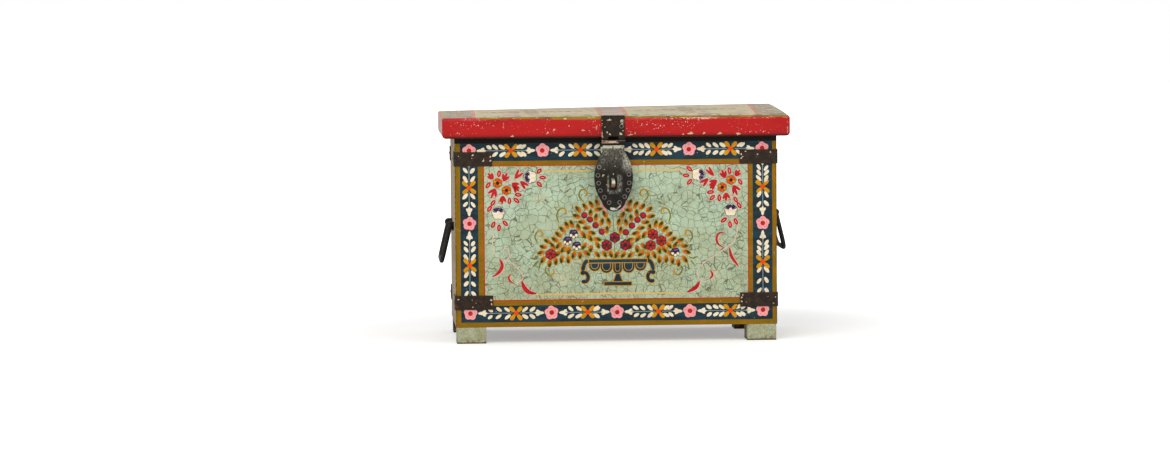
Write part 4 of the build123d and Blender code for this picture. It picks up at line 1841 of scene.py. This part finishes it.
@dataclass
class Scrolls(Motif):
    """Thin pink stems that run down from the sprays and curl in the lower corners."""

    name: str = "scroll"
    seed: int = 13
    stems: tuple[Points, ...] = (
        ((-158.5, 147), (-162, 134), (-160.5, 119), (-154, 111)),
        ((-154, 110.5), (-146, 107.5), (-140.5, 112), (-141.5, 121), (-146, 124), (-148, 120)),
        ((-148, 108), (-136.5, 103.5), (-127.5, 94.5), (-123, 86), (-126, 80.5), (-133, 77.5)),
        ((154, 155), (156, 144), (152, 129.5), (143, 122), (128, 112), (111, 100.5), (103.5, 90), (107, 80),
         (115, 77.5), (121.5, 81.5)),
    )
    horns: tuple[tuple[Points, float], ...] = (
        (((-153.5, 110), (-149.8, 101.5), (-154, 92.5), (-163, 86)), 5.2),
        (((-138, 90.5), (-141.5, 86), (-139.5, 80.5), (-133, 77)), 3),
        (((-124.5, 81.5), (-121.5, 72.5), (-115, 66), (-105, 64)), 6.6),
        (((139.5, 120.5), (131.5, 125.5), (129, 133.5), (132.5, 140), (141.5, 139.5)), 3.4),
        (((145.5, 121.5), (148.5, 109), (158, 96)), 4.6),
        (((119.5, 80), (123.5, 85.5), (120.5, 92.5)), 3.2),
        (((106.5, 78), (101, 69.5), (89.5, 63.5)), 6),
    )

    def build(self) -> None:
        """Paint the stems, and the red horns with their cream edges."""
        for points in self.stems:
            self.ink(Pigment.BLUSH, 2).stroke(points, 1.3)
        for points, width in self.horns:
            self.ink(Pigment.BLUSH, 2).stroke([(x + 0.9, z - 0.3) for x, z in points], width, Touch.LEAF)
            self.ink(Pigment.RED, 3).stroke(points, width * 0.86, Touch.LEAF)
        self.finish()


@dataclass
class Bouquet(Motif):
    """A mound of orange leaves with berries and flowers, spreading from the urn on both sides."""

    name: str = "bouquet"
    seed: int = 21
    mirror: float = -9.5  # a place x on the left is at this minus x on the right
    leaf_length: float = 12.2
    leaf_width: float = 7.0
    berry_radius: float = 4.3
    flower_radius: float = 7.3
    bud_radius: float = 6.3
    blossom_z: float = 181.5
    blossom_radius: float = 12.2
    blossom_petals: float = 14.2  # from its middle to the middle of each petal
    rows: tuple[tuple[Points, int, float, float], ...] = (
        (((-51, 173), (-42, 176.5), (-34, 179), (-26, 181.5)), 4, 134, 112),
        (((-53, 164), (-46, 156.5), (-40, 149)), 3, 166, 176),
        (((-34.5, 168), (-27.5, 162), (-20.5, 156)), 3, 84, 80),
        (((-24.5, 172.5), (-16, 166)), 2, 12, 122),
        (((-66, 152.5), (-59.5, 154), (-51, 149.5)), 3, 116, 106),
        (((-71.5, 147), (-76.5, 140.5), (-81, 134), (-91, 132)), 4, 142, 154),
        (((-96.5, 125), (-99.5, 117), (-97, 107.5), (-88.5, 103)), 4, 172, 268),
        (((-80.5, 106), (-72.5, 108), (-64, 107.5)), 3, 262, 272),
        (((-76.5, 126), (-70.5, 121), (-63.5, 119.5)), 3, 226, 250),
        (((-57, 113.5), (-49, 113)), 2, 248, 272),
        (((-40, 115.5), (-26.5, 114), (-17, 114.5), (-8.5, 114.5)), 4, 324, 296),
        (((-43.5, 125), (-35, 121.5), (-26, 126)), 3, 224, 302),
        (((-44.5, 140), (-36, 135.5)), 2, 298, 302),
        (((-33.5, 142), (-26, 133.5)), 2, 346, 350),
        (((-11.5, 156.5), (-14, 146)), 2, 104, 92),
        (((-78, 115.5), (-84, 125)), 2, 214, 120),
    )
    berries: Points = ((-43, 165), (-35.5, 159.5), (-28.5, 152), (-20.5, 143.5))
    dark_flowers: Points = ((-3.5, 136), (-14, 126), (10, 126))
    red_flowers: Points = ((46, 139.5), (57, 131), (43, 125), (-87, 115))
    buds: Points = ((-57, 141), (-65, 132), (-53, 125.5), (75, 116))
    tendrils: tuple[Points, ...] = (
        ((-43.5, 182), (-49.5, 190), (-47.5, 197.5), (-41.5, 198), (-39, 192.5), (-43, 189.5)),
        ((-76, 155.5), (-78.5, 165), (-75, 173), (-68.5, 174), (-66.5, 168.5), (-70.5, 167)),
        ((-103, 129.5), (-107, 137), (-104, 144), (-98.5, 144.5), (-98, 139), (-102, 138.5)),
        ((-92.5, 100), (-93.5, 93.5), (-89, 87.5), (-83, 90.5), (-84, 96)),
    )
    wisps: tuple[Points, ...] = (
        ((-114, 111.5), (-108, 109), (-101.5, 111)),
        ((-110.5, 98.5), (-107, 103), (-104, 107)),
        ((-103, 93), (-101.5, 99), (-100, 104.5)),
    )

    def build(self) -> None:
        """Paint the bouquet."""
        self.stems()
        for hand in (1, -1):
            place = (lambda p: p) if hand == 1 else (lambda p: (self.mirror - p[0], p[1] - 1.0))
            for points, count, first, last in self.rows:
                path = Path(points)
                for i in range(count):
                    share = i / (count - 1)
                    turn = first + (last - first) * share
                    centre = place(tuple(path.at(share)))
                    self.leaf(centre, turn if hand == 1 else 180 - turn)
            for berry in self.berries:
                self.berry(place(berry))
            for points in self.tendrils:
                self.ink(Pigment.OLIVE, 2).stroke([place(p) for p in points], 2.0)
                self.ink(Pigment.GOLD, 3).stroke([place(p) for p in points[2:]], 1.5)
            for points in self.wisps:
                self.ink(Pigment.OLIVE, 2).stroke([place(p) for p in points], 1.9, Touch.LEAF)
        for centre in self.dark_flowers:
            self.flower(centre, Pigment.WINE, Pigment.CRIMSON)
        for centre in self.red_flowers:
            self.flower(centre, Pigment.RED, Pigment.SCARLET)
        for centre in self.buds:
            self.bud(centre)
        self.blossom()
        self.finish()

    def stems(self) -> None:
        """Thin stems that join the leaves to the urn."""
        lines = [((-3.5, 108), (-4, 130), (-5, 150), (-6, 168))]
        for hand in (1, -1):
            for reach, rise, bow in ((-100, 118, 6), (-72, 140, 8), (-42, 168, 2)):
                x = reach if hand == 1 else self.mirror - reach
                lines.append(((-4, 110), (x * 0.45, (110 + rise) / 2 + bow), (x * 0.9, rise - 2)))
        for points in lines:
            self.ink(Pigment.OLIVE, 2).stroke(points, 0.9)

    def leaf(self, centre: Point, turn: float) -> None:
        """A leaf with a mustard edge, dark green towards its tip and orange towards its foot.

        Args:
            centre: Its middle.
            turn: Its direction in degrees.
        """
        turn += self.vary(7)
        length, width = self.leaf_length + self.vary(0.8), self.leaf_width
        ahead = heading(turn)
        aside = Vector((-ahead.y, ahead.x)) * self.chance.choice((-1, 1))
        heart = tuple(Vector(centre) + ahead * 0.5 + aside * 0.3)
        slit = tuple(Vector(centre) + ahead * 0.4)
        foot = tuple(Vector(centre) - ahead * 1.7 - aside * 0.4)
        self.ink(Pigment.GOLD, 2).stroke(along(centre, turn, length), width, Touch.LEAF)
        self.ink(Pigment.GREEN, 3).stroke(along(heart, turn, length * 0.74), width * 0.6, Touch.LEAF)
        self.ink(Pigment.ORANGE, 4).stroke(along(foot, turn + 180, length * 0.44), width * 0.44, Touch.LEAF)
        self.ink(Pigment.BLACK, 5).stroke(along(slit, turn, length * 0.40), 0.8, Touch.LEAF)

    def berry(self, centre: Point) -> None:
        """A round berry, dark at its rim.

        Args:
            centre: Its middle.
        """
        self.ink(Pigment.BLACK, 2).disc(centre, self.berry_radius)
        self.ink(Pigment.WINE, 3).disc(centre, self.berry_radius - 0.5)
        self.ink(Pigment.CRIMSON, 4).disc((centre[0] + 0.5, centre[1] + 0.4), 2.8)

    def flower(self, centre: Point, shade: Pigment, light: Pigment) -> None:
        """Six round petals with dark edges.

        Args:
            centre: Its middle.
            shade: Colour of the petals.
            light: Colour of the lit ones.
        """
        self.ink(Pigment.BLACK, 3).disc(centre, self.flower_radius, 6, 0.16)
        self.ink(shade, 4).disc(centre, self.flower_radius - 0.6, 6, 0.18)
        for i in range(6):
            petal, notch = 60 * i + 90, 60 * i + 120
            self.ink(light if i % 5 < 2 or i == 3 else shade, 5).disc(toward(centre, petal, 4.3), 1.8)
            self.ink(Pigment.BLACK, 5).stroke(along(toward(centre, notch, 4.4), notch, 5.4), 1.1, Touch.LEAF)
        self.ink(Pigment.BLACK, 6).disc(centre, 1.8, 6, 0.2)

    def bud(self, centre: Point) -> None:
        """A small flower, purple above, with three pale petals below.

        Args:
            centre: Its middle.
        """
        self.ink(Pigment.BLACK, 3).disc(centre, self.bud_radius, 5, 0.16, 270)
        upper = (centre[0], centre[1] + 2.0)
        self.ink(Pigment.PLUM, 4).stroke(along(upper, 0, 11.6), 6.6, Touch.LEAF)
        self.ink(Pigment.MAUVE, 5).stroke(along((centre[0] + 0.8, centre[1] + 3.0), 8, 6.5), 1.7, Touch.LEAF)
        for turn in (205, 270, 335):
            self.ink(Pigment.CREAM, 5).disc(toward(centre, turn, 3.9), 1.9)
        self.ink(Pigment.BLACK, 6).disc((centre[0], centre[1] - 0.6), 1.3)

    def blossom(self) -> None:
        """A pink blossom, mostly behind the hasp's tip."""
        centre = (HASP_X, self.blossom_z)
        self.ink(Pigment.WINE, 2).disc(centre, self.blossom_radius)
        for turn in range(-40, 221, 20):
            self.ink(Pigment.ROSE, 3).disc(toward(centre, turn, self.blossom_petals), 2.7, 3, 0.2, 1.3 * turn)
        self.ink(Pigment.RED, 4).disc(centre, 7.4, 7, 0.12)
        self.ink(Pigment.CREAM, 5).disc(centre, 2.6)


@dataclass
class Urn(Motif):
    """A low footed urn with a scalloped bowl and scrolled handles, navy with a gold edge."""

    name: str = "urn"
    seed: int = 31
    middle: float = 0.3
    half_rim: float = 37.6
    rim_low: float = 103.6
    rim_top: float = 107.6
    scallops: tuple[Triple, ...] = (  # middle, width and lowest place of each lobe
        (-29.8, 16.2, 91.4), (-14.6, 17.2, 88.9), (-0.2, 12.8, 88), (14.2, 17.2, 88.9), (29.6, 16.2, 91.4))
    edge: float = 1.1  # width of the gold line
    stem_top: float = 88.6
    stem_half: float = 2.5  # half its width at the top
    stem_flare: float = 0.95  # how much that grows with each step down
    step: float = 2.5
    base: Triple = (17.8, 73.8, 77.9)  # half its width, and its lower and upper side
    arm: Points = ((38.5, 106.5), (42.4, 104), (44.8, 99), (45.8, 93))
    curl: Points = ((46.6, 90.6), (41.6, 90.4), (38.8, 85.4), (40.2, 80.2), (44.6, 78.6), (46.6, 81))

    def build(self) -> None:
        """Paint the urn."""
        for middle, width, low in self.scallops:
            self.scallop(middle, width, low)
        self.bar(self.half_rim, self.rim_low, self.rim_top)
        self.foot()
        for side in (-1, 1):
            for points, width in ((self.arm, 4.8), (self.curl, 4.2)):
                placed = [(self.middle + side * x, z) for x, z in points]
                self.ink(Pigment.GOLD, 2).stroke(placed, width + 2 * self.edge)
                self.ink(Pigment.NAVY, 3).stroke(placed, width)
            eye = (self.middle + side * 46.0, 90.4)
            self.ink(Pigment.GOLD, 2).disc(eye, 3.8)
            self.ink(Pigment.NAVY, 3).disc(eye, 2.8)
        self.finish()

    def bar(self, half: float, low: float, top: float) -> None:
        """A level bar with a gold edge.

        Args:
            half: Half its width.
            low: Height of its lower side.
            top: Height of its upper side.
        """
        for pigment, level, edge in ((Pigment.GOLD, 6, self.edge), (Pigment.NAVY, 7, 0.0)):
            reach = half + edge
            self.ink(pigment, level).block(self.middle - reach, self.middle + reach, low - edge, top + edge)

    def scallop(self, middle: float, width: float, low: float) -> None:
        """A rounded lobe that hangs from the rim, with a gold line inside its edge.

        Args:
            middle: Its middle.
            width: Its width.
            low: Its lowest place.
        """
        for pigment, level, inset in ((Pigment.GOLD, 2, 0.0), (Pigment.NAVY, 3, self.edge),
                                      (Pigment.GOLD, 4, 3.4), (Pigment.NAVY, 5, 4.4)):
            half = width / 2 - inset * 0.85
            round_at = low + inset + half
            self.ink(pigment, level).block(middle - half, middle + half, round_at, self.rim_low)
            self.ink(pigment, level).disc((middle, round_at), half)

    def foot(self) -> None:
        """A stem that widens to a flat base."""
        for i in range(4):
            half = self.stem_half + self.stem_flare * i
            z = self.stem_top - self.step * i
            self.ink(Pigment.GOLD, 2).block(self.middle - half - 1, self.middle + half + 1, z - 2.6, z)
            self.ink(Pigment.NAVY, 3).block(self.middle - half, self.middle + half, z - 2.6, z)
        self.bar(*self.base)


@dataclass
class PanelLines(Motif):
    """The broken yellow lines along the top and the foot of the panel."""

    name: str = "panel_line"
    top: float = 222.8
    low: float = 62.9
    width: float = 2.3

    def build(self) -> None:
        """Paint the lines."""
        yellow = self.ink(Pigment.YELLOW, 2)
        for z, ends in ((self.top, (-97.0, -31.0)), (self.top, (21.0, 90.0)), (self.low, (-106.0, 91.0))):
            reach = ends[1] - ends[0]
            steps = round(reach / 6)
            points = [(ends[0] + reach * i / steps, z + self.vary(0.35)) for i in range(steps + 1)]
            yellow.stroke(points, self.width)
        self.finish()


# --- The painted lid ---

@dataclass
class LidEnds(FlowerRows):
    """The same rows of flowers across both ends of the lid, worn and washed out."""

    name: str = "lid_end"
    seed: int = 41
    across: float = 202.5  # middle of each row, from the middle of the lid
    pinks: tuple[float, ...] = (-77, 3, 83)
    crosses: tuple[float, ...] = (-37, 43)
    petal: Pigment = Pigment.WORN_ROSE
    touch: Pigment = Pigment.WORN_RED
    heart: Pigment = Pigment.WORN_RED
    mustard: Pigment = Pigment.WORN_OCHRE
    middle: Pigment = Pigment.WORN_ROSE
    leaf: Pigment = Pigment.WORN_CREAM
    stem: Pigment = Pigment.WORN_GREEN

    def build(self) -> None:
        """Paint both rows."""
        for x in (-self.across, self.across):
            for y in self.pinks:
                self.pink_flower((x, y))
                for side in (-1, 1):
                    leaf = along((x + side * 10.5, y), 90 + side * 24, 9.0)
                    self.ink(self.stem, 1).stroke(leaf, 3.4, Touch.LEAF)
            for y in self.crosses:
                self.cross_flower((x, y))
            self.row([(x, y) for y in sorted(self.pinks + self.crosses)], self.crosses, 1)
        self.finish()


@dataclass
class LidSprays(Motif):
    """A worn flower with four sprays of leaves on each panel of the lid."""

    name: str = "lid_spray"
    seed: int = 43
    middles: Points = ((-105, 3), (99, 3))
    flower_radius: float = 11.5
    arms: Points = ((0, 62), (90, 54), (180, 62), (270, 54))  # direction and length of each
    leaf_step: float = 10.5
    leaf_reach: float = 5.2  # how far a leaf's middle lies beside its stem
    leaf_size: Point = (10.5, 4.4)
    bud_reach: float = 27.0

    def build(self) -> None:
        """Paint both panels."""
        for middle in self.middles:
            for turn, length in self.arms:
                self.arm(Vector(middle), turn + self.vary(2), length)
            for turn in (45, 135, 225, 315):
                self.bud(Vector(middle), turn)
            self.flower(middle, self.flower_radius)
        self.finish()

    def flower(self, centre: Point, radius: float) -> None:
        """Eight petals, a cream ring and a heart.

        Args:
            centre: Its middle.
            radius: Its outer radius.
        """
        self.ink(Pigment.WORN_RED, 2).disc(centre, radius, 8, 0.16)
        self.ink(Pigment.WORN_ROSE, 3).disc(centre, radius * 0.88, 8, 0.18)
        self.ink(Pigment.WORN_CREAM, 4).disc(centre, radius * 0.46)
        self.ink(Pigment.WORN_OCHRE, 5).disc(centre, radius * 0.28)

    def arm(self, middle: Vector, turn: float, length: float) -> None:
        """A stem with pairs of leaves and a small flower at its end.

        Args:
            middle: Middle of the panel's flower.
            turn: Its direction in degrees.
            length: How far it reaches.
        """
        ahead = heading(turn)
        aside = Vector((-ahead.y, ahead.x))
        green = self.ink(Pigment.WORN_GREEN, 1)
        green.stroke([tuple(middle + ahead * s) for s in (8, length / 2, length)], 1.3)
        place = self.flower_radius + 6
        while place < length - 8:
            for side in (-1, 1):
                foot = middle + ahead * place + aside * side * self.leaf_reach
                leaf = along(tuple(foot), turn + side * (38 + self.vary(6)), self.leaf_size[0])
                green.stroke(leaf, self.leaf_size[1], Touch.LEAF)
            place += self.leaf_step
        self.flower(tuple(middle + ahead * length), 6.4)

    def bud(self, middle: Vector, turn: float) -> None:
        """Three petals that spread between two arms.

        Args:
            middle: Middle of the panel's flower.
            turn: Its direction in degrees.
        """
        for spread in (-26, 0, 26):
            centre = middle + heading(turn + spread) * self.bud_reach
            petal = along(tuple(centre), turn + spread, 14 + self.vary(1))
            self.ink(Pigment.WORN_ROSE, 1).stroke(petal, 5.4, Touch.DROP)


# --- Ironwork ---

@dataclass
class HaspRings:
    """Small rings punched along the edge of the hasp's plate and on its strap."""

    finish: bpy.types.Material
    radius: float = 2.4
    line: float = 0.42  # half thickness of the raised lip
    plate_places: Points = (  # across from the middle, and down from the knuckle's axis
        (-10.5, 14.3), (10.2, 13.1), (-13.8, 24.2), (-18.6, 32.2), (18.2, 32.8), (-20.4, 42.7), (19.8, 41.8),
        (-19.4, 52.9), (20, 53), (-17.2, 62.4), (18.4, 62.4), (-12.2, 71.3), (14, 70.6), (-6, 78.2),
        (7.6, 78))
    strap_places: Points = ((10.7, -20.2), (11.6, -26.4))

    def build(self) -> None:
        """Punch the rings."""
        for node, body, places in (("hasp_plate", "hasp", self.plate_places),
                                   ("hasp_strap", "lid", self.strap_places)):
            skin = Skin([node], HASP_FACE_Y)
            bm = bmesh.new()
            for across, down in places:
                self.ring(bm, skin.place(HASP_X + across, HASP_AXIS_Z - down, 0.0))
            piece(f"{node}_rings", bm, self.finish, body, "hasp_iron")

    def ring(self, bm: bmesh.types.BMesh, middle: Vector) -> None:
        """Add one raised ring that faces the front.

        Args:
            bm: The mesh that it joins.
            middle: Its middle, in millimetres.
        """
        single = bmesh.new()
        start = bmesh.ops.create_circle(single, segments=6, radius=self.line * MM)["verts"]
        place = Matrix.Translation((self.radius * MM, 0, 0)) @ Matrix.Rotation(math.pi / 2, 4, "X")
        bmesh.ops.transform(single, matrix=place, verts=start)
        bmesh.ops.spin(single, geom=single.verts[:] + single.edges[:], cent=(0, 0, 0), axis=(0, 0, 1),
                       angle=2 * math.pi, steps=18, use_merge=True)
        bmesh.ops.recalc_face_normals(single, faces=single.faces)
        turn = Matrix.Translation(middle * MM) @ Matrix.Rotation(math.pi / 2, 4, "X")
        bmesh.ops.transform(single, matrix=turn, verts=single.verts)
        mesh = bpy.data.meshes.new("ring")
        single.to_mesh(mesh)
        single.free()
        bm.from_mesh(mesh)
        bpy.data.meshes.remove(mesh)


@dataclass
class PaintFlecks:
    """Flecks of old cream and pink paint left on the ironwork."""

    palette: Palette
    per_strap: int = 5
    clasp: tuple[Fleck, ...] = (  # x from the middle, z, turn, length, width
        (-5.1, 289, 4, 7.4, 1.8), (11.3, 287.2, 80, 4.4, 2.6), (9.9, 270.8, 140, 5, 2.8),
        (-4.3, 270.2, 130, 3.6, 1.8), (-7.7, 272.8, 100, 3.4, 1.6), (-13.9, 267.6, 110, 4.6, 1.6),
        (-14.3, 271.5, 92, 5, 1.2), (11.2, 283.4, 10, 3.4, 1.4), (12.6, 274.5, 60, 2, 1.2),
        (-10.8, 279.6, 20, 2, 1))
    lid_edge: tuple[Fleck, ...] = (  # on the lid's front: x, z and the rest
        (-134.7, 268.6, 0, 5, 1.5), (-89, 272.6, 38, 5, 1.2), (-80.5, 276.6, 40, 4.2, 1.3),
        (-61.5, 281.6, 10, 2, 1), (-43, 275.8, 170, 5, 1.3), (-200.5, 284, 60, 1.6, 0.9),
        (-146, 281, 0, 1.8, 0.9), (17.5, 269.4, 8, 8, 0.9), (24, 271.2, 80, 3, 0.9),
        (-25.6, 279, 80, 7, 0.7),
        (95.3, 270.6, 4, 8, 2), (113.1, 270.4, 30, 4, 1.6), (133.3, 269.8, 12, 6.4, 1.8),
        (157.6, 269.6, 172, 6.4, 1.8), (190, 272, 20, 2.4, 1), (86, 269.6, 10, 2.6, 1.2))
    plate: tuple[Fleck, ...] = (
        (-13.4, 217.2, 38, 4.8, 1.8), (-8.6, 205.2, 90, 1.8, 1.4), (-0.3, 219, 90, 2.4, 1.4),
        (1.8, 229.2, 20, 2, 1), (-11.8, 225, 0, 1.6, 1), (3.6, 239.4, 70, 2.2, 1.2))

    def build(self) -> None:
        """Leave the flecks."""
        chance = random.Random(77)
        for side in ("left", "right"):
            for level in ("upper", "lower"):
                name = f"front_{side}_{level}_strap"
                low, high = span(name)
                strap = Skin([name, f"{name}_nails"], FRONT_Y - 1.2)
                ground = Ground("carcass", "strap_iron", strap.place, tremble=0.5)
                motif = Motif(ground, self.palette, f"{name}_paint", hash_of(name))
                for _ in range(self.per_strap):
                    x = chance.uniform(low.x + 2.5, high.x - 2.5)
                    z = chance.uniform(low.z + 2.5, high.z - 2.5)
                    pigment = Pigment.BLUSH if chance.random() < 0.3 else Pigment.IVORY
                    size = chance.uniform(1.2, 3.6)
                    self.fleck(motif.ink(pigment, 1), (x, z), chance.uniform(0, 180), size, size * 0.42)
                inner = low.x if side == "right" else high.x
                inward = 1 if side == "right" else -1
                for rise in (7.0, 12.0):
                    place = (inner + inward * 2.2, low.z + rise)
                    self.fleck(motif.ink(Pigment.BLUSH, 1), place, 90 + chance.uniform(-60, 60), 3.0, 1.3)
                motif.finish()
        edge = Skin(["lid_front_moulding"], LID_FRONT_Y)
        ground = Ground("lid", "moulding_paint", edge.place, tremble=0.5)
        motif = Motif(ground, self.palette, "lid_edge_chips", seed=4)
        for x, z, turn, length, width in self.lid_edge:
            self.fleck(motif.ink(Pigment.IVORY, 1), (x, z), turn, length, width)
        motif.finish()
        for node, body, flecks in (("hasp_strap", "lid", self.clasp), ("hasp_plate", "hasp", self.plate)):
            ground = Ground(body, "hasp_iron", Skin([node], HASP_FACE_Y).place, tremble=0.5)
            motif = Motif(ground, self.palette, f"{node}_paint", seed=3)
            for x, z, turn, length, width in flecks:
                self.fleck(motif.ink(Pigment.IVORY, 1), (HASP_X + x, z), turn, length * 0.9, width * 0.8)
            motif.finish()

    def fleck(self, layer: Layer, place: Point, turn: float, length: float, width: float) -> None:
        """One ragged fleck.

        Args:
            layer: The film that it is part of.
            place: Its middle.
            turn: Its direction in degrees.
            length: Its length.
            width: Its full width.
        """
        corner = toward(place, turn + 70, width * 0.45)
        layer.stroke(along(place, turn, length), width, Touch.PETAL)
        layer.stroke(along(corner, turn + 52, length * 0.55), width * 0.8, Touch.LEAF)


def hash_of(name: str) -> int:
    """A number that stays the same for a name."""
    return sum(ord(letter) * (i + 1) for i, letter in enumerate(name))


class Dresser:
    """Gives each solid of the chest its finish."""

    def __init__(self) -> None:
        """Build the finishes that the solids share."""
        finishes = {
            "strap_iron": OldIron("blackened forged strap iron"),
            "handle_iron": OldIron("blackened forged rod iron", "#1d1916", "#2c2520", "#3d2a1f",
                                   fleck_share=0.0, edge=0.2, shift=400),
            "hinge_iron": OldIron("blackened hinge iron", fleck_share=0.02, shift=410),
            "plate": RubbedIron("rubbed forged plate iron", "#14110d", "#211c15", "#33261b", "#b4b09e",
                                fleck_share=0.0, shift=420),
            "clasp": ClaspIron("blackened clasp iron", "#1c1711", "#281f16", "#402c1c",
                               fleck_share=0.06, fleck_radius=1.0, shift=430),
            "staple": StapleIron("paint-spotted staple iron", "#8f8468", "#b7ae8c", "#7a5632",
                                 fleck_share=0.0, shift=440),
            "boards": BoardPaint(),
            "lid": LidPaint(),
            "wood": OldSoftwood(),
            "front_feet": FootPaint("crackled green paint on pine feet"),
            # the rear feet: dark stain and painted shade, darker than the front pair
            "stained_and_shaded_rear_feet": FootPaint("dark stained pine feet", "#3a2a1c", "#2c2016", "#1c140d", "#1d120a"),
        }
        self.finishes = {name: finish.make() for name, finish in finishes.items()}

    def finish_for(self, node: str) -> str:
        """Which finish a solid gets, from its name.

        Args:
            node: The solid's name.

        Returns:
            The finish's name.
        """
        rules = (
            ("rear_left_foot", "stained_and_shaded_rear_feet"), ("rear_right_foot", "stained_and_shaded_rear_feet"), ("foot", "front_feet"),
            ("strap_nails", "strap_iron"), ("hasp_strap", "clasp"), ("hasp_pin", "clasp"),
            ("hasp_plate", "plate"), ("hasp_staple", "staple"), ("_strap", "strap_iron"),
            ("hinge", "hinge_iron"), ("handle", "handle_iron"), ("eye", "handle_iron"),
            ("floor_board", "wood"), ("_wall", "wood"), ("lid_", "lid"), ("board", "boards"),
        )
        return next(finish for part, finish in rules if part in node)

    def dress(self, nodes: dict[str, bpy.types.Object]) -> None:
        """Put each finish on its solids.

        Args:
            nodes: The solids by name.
        """
        for name, solid in nodes.items():
            finish = self.finish_for(name)
            for slot in solid.material_slots:
                slot.material = self.finishes[finish]
            log.info("solid %s: %s", name, finish)


# --- Studio ---

@dataclass
class Studio:
    """White floor and backdrop, soft lamps and the camera."""

    eye: tuple[float, float] = (-0.3416, 0.4587)  # across and up
    away: float = 4.799  # from the eye to the chest's front
    yaw: float = 0.0626  # radians to the right
    pitch: float = -0.0636
    roll: float = -0.0072
    lens: float = 114.49
    ambient: float = 0.52
    floor_white: str = "#f6f6f4"
    glow_near: float = 0.34  # light that the floor shows the camera close to the chest
    glow_far: float = 1.0

    def build(self) -> None:
        """Set everything up."""
        self.camera()
        self.floor()
        self.world()
        self.lamp("key", (-0.9, -1.9, 1.9), 1.5, 28.0)
        self.lamp("fill", (1.5, -1.9, 0.9), 1.6, 11.5)
        view = bpy.context.scene.view_settings
        view.view_transform = "Standard"

    def camera(self) -> None:
        """Stand the camera where the chest is seen from a little to the left."""
        ahead = Vector((math.sin(self.yaw) * math.cos(self.pitch), math.cos(self.yaw) * math.cos(self.pitch),
                        math.sin(self.pitch)))
        right = Vector((math.cos(self.yaw), -math.sin(self.yaw), 0))
        up = right.cross(ahead)
        c, s = math.cos(self.roll), math.sin(self.roll)
        right, up = right * c + up * s, up * c - right * s
        lens = bpy.data.cameras.new("camera")
        lens.lens = self.lens
        lens.sensor_width = 36.0
        lens.sensor_fit = "HORIZONTAL"
        camera = bpy.data.objects.new("camera", lens)
        turn = Matrix((right, up, -ahead)).transposed().to_4x4()
        eye = (self.eye[0], FRONT_Y * MM - self.away, self.eye[1])
        camera.matrix_world = Matrix.Translation(eye) @ turn
        bpy.context.scene.collection.objects.link(camera)
        bpy.context.scene.camera = camera

    def floor(self) -> None:
        """Lay a wide white floor that fades to white paper away from the chest."""
        bm = bmesh.new()
        bmesh.ops.create_grid(bm, x_segments=1, y_segments=1, size=12.0)
        mesh = bpy.data.meshes.new("studio_floor")
        bm.to_mesh(mesh)
        bm.free()
        coat = Coat("matt white studio paper")
        away = coat.add("ShaderNodeVectorMath", {0: coat.place}, operation="LENGTH").outputs["Value"]
        glow = coat.ramp(away, 0.3, 0.95, self.glow_far - self.glow_near) + self.glow_near
        inputs = {
            "Base Color": linear(self.floor_white), "Roughness": 0.9, "Specular IOR Level": 0.1,
            "Emission Color": linear("#ffffff"), "Emission Strength": glow * self.seen(coat),
        }
        paper = coat.add("ShaderNodeBsdfPrincipled", inputs)
        coat.add("ShaderNodeOutputMaterial", {"Surface": paper.outputs[0]})
        mesh.materials.append(coat.material)
        floor = bpy.data.objects.new("studio_floor", mesh)
        bpy.context.scene.collection.objects.link(floor)

    def seen(self, wiring: Wiring) -> Mask:
        """1 for rays from the camera and for reflections, and 0 for light."""
        path = wiring.add("ShaderNodeLightPath").outputs
        return Mask(wiring, path["Is Camera Ray"]) | path["Is Glossy Ray"] | path["Is Transmission Ray"]

    def world(self) -> None:
        """White to the eye and in reflections, softer as a light."""
        world = bpy.data.worlds.new("studio")
        world.use_nodes = True
        bpy.context.scene.world = world
        wiring = Wiring(world.node_tree)
        strength = wiring.add("ShaderNodeMapRange", {"Value": self.seen(wiring), "To Min": self.ambient})
        inputs = {"Strength": strength.outputs[0], "Color": linear("#ffffff")}
        light = wiring.add("ShaderNodeBackground", inputs)
        wiring.add("ShaderNodeOutputWorld", {"Surface": light.outputs[0]})

    def lamp(self, name: str, place: Triple, size: float, power: float) -> None:
        """Hang a soft square lamp that looks at the chest.

        Args:
            name: Its name.
            place: Where it hangs, in metres.
            size: Length of its side, in metres.
            power: Its strength in watts.
        """
        light = bpy.data.lights.new(name, "AREA")
        light.shape, light.size, light.energy = "SQUARE", size, power
        lamp = bpy.data.objects.new(name, light)
        look = Vector((0, 0, 0.15)) - Vector(place)
        lamp.matrix_world = Matrix.Translation(place) @ look.to_track_quat("-Z", "Y").to_matrix().to_4x4()
        bpy.context.scene.collection.objects.link(lamp)


# --- Making ---


def main() -> None:
    """Dress the solids, paint the ornament and set up the studio."""
    logging.basicConfig(level=logging.INFO, format="%(message)s")
    noise.seed_set(HAND_SEED)
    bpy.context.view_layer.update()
    Studio().build()
    Dresser().dress(frame["nodes"])
    palette = Palette()
    front = Ground("carcass", "front_paint", lambda u, v, rise: Vector((u, FRONT_Y - rise, v)))
    panel = Ground("carcass", "front_paint", lambda u, v, rise: Vector((u + PANEL_SLIDE, FRONT_Y - rise, v)))
    for part in (FrontBands, FloralBorder):
        part(front, palette).build()
    for part in (CornerSprays, Scrolls, Bouquet, Urn):
        part(panel, palette).build()
    PanelLines(front, palette).build()
    tops = [name for name in frame["nodes"] if name.startswith("lid_stave") or name.endswith("_moulding")]
    lid_top = Skin(tops, span("lid_stave_1")[0].z, from_above=True)
    for part in (LidEnds, LidSprays):
        part(Ground("lid", "lid_paint", lid_top.place, tremble=0.6), palette).build()
    lips = OldIron("rubbed iron ring lips", "#7f7c71", "#9c988c", "#5a4a38", fleck_share=0.0, shift=450)
    HaspRings(lips.make()).build()
    PaintFlecks(palette).build()


if __name__ == "__main__":
    main()
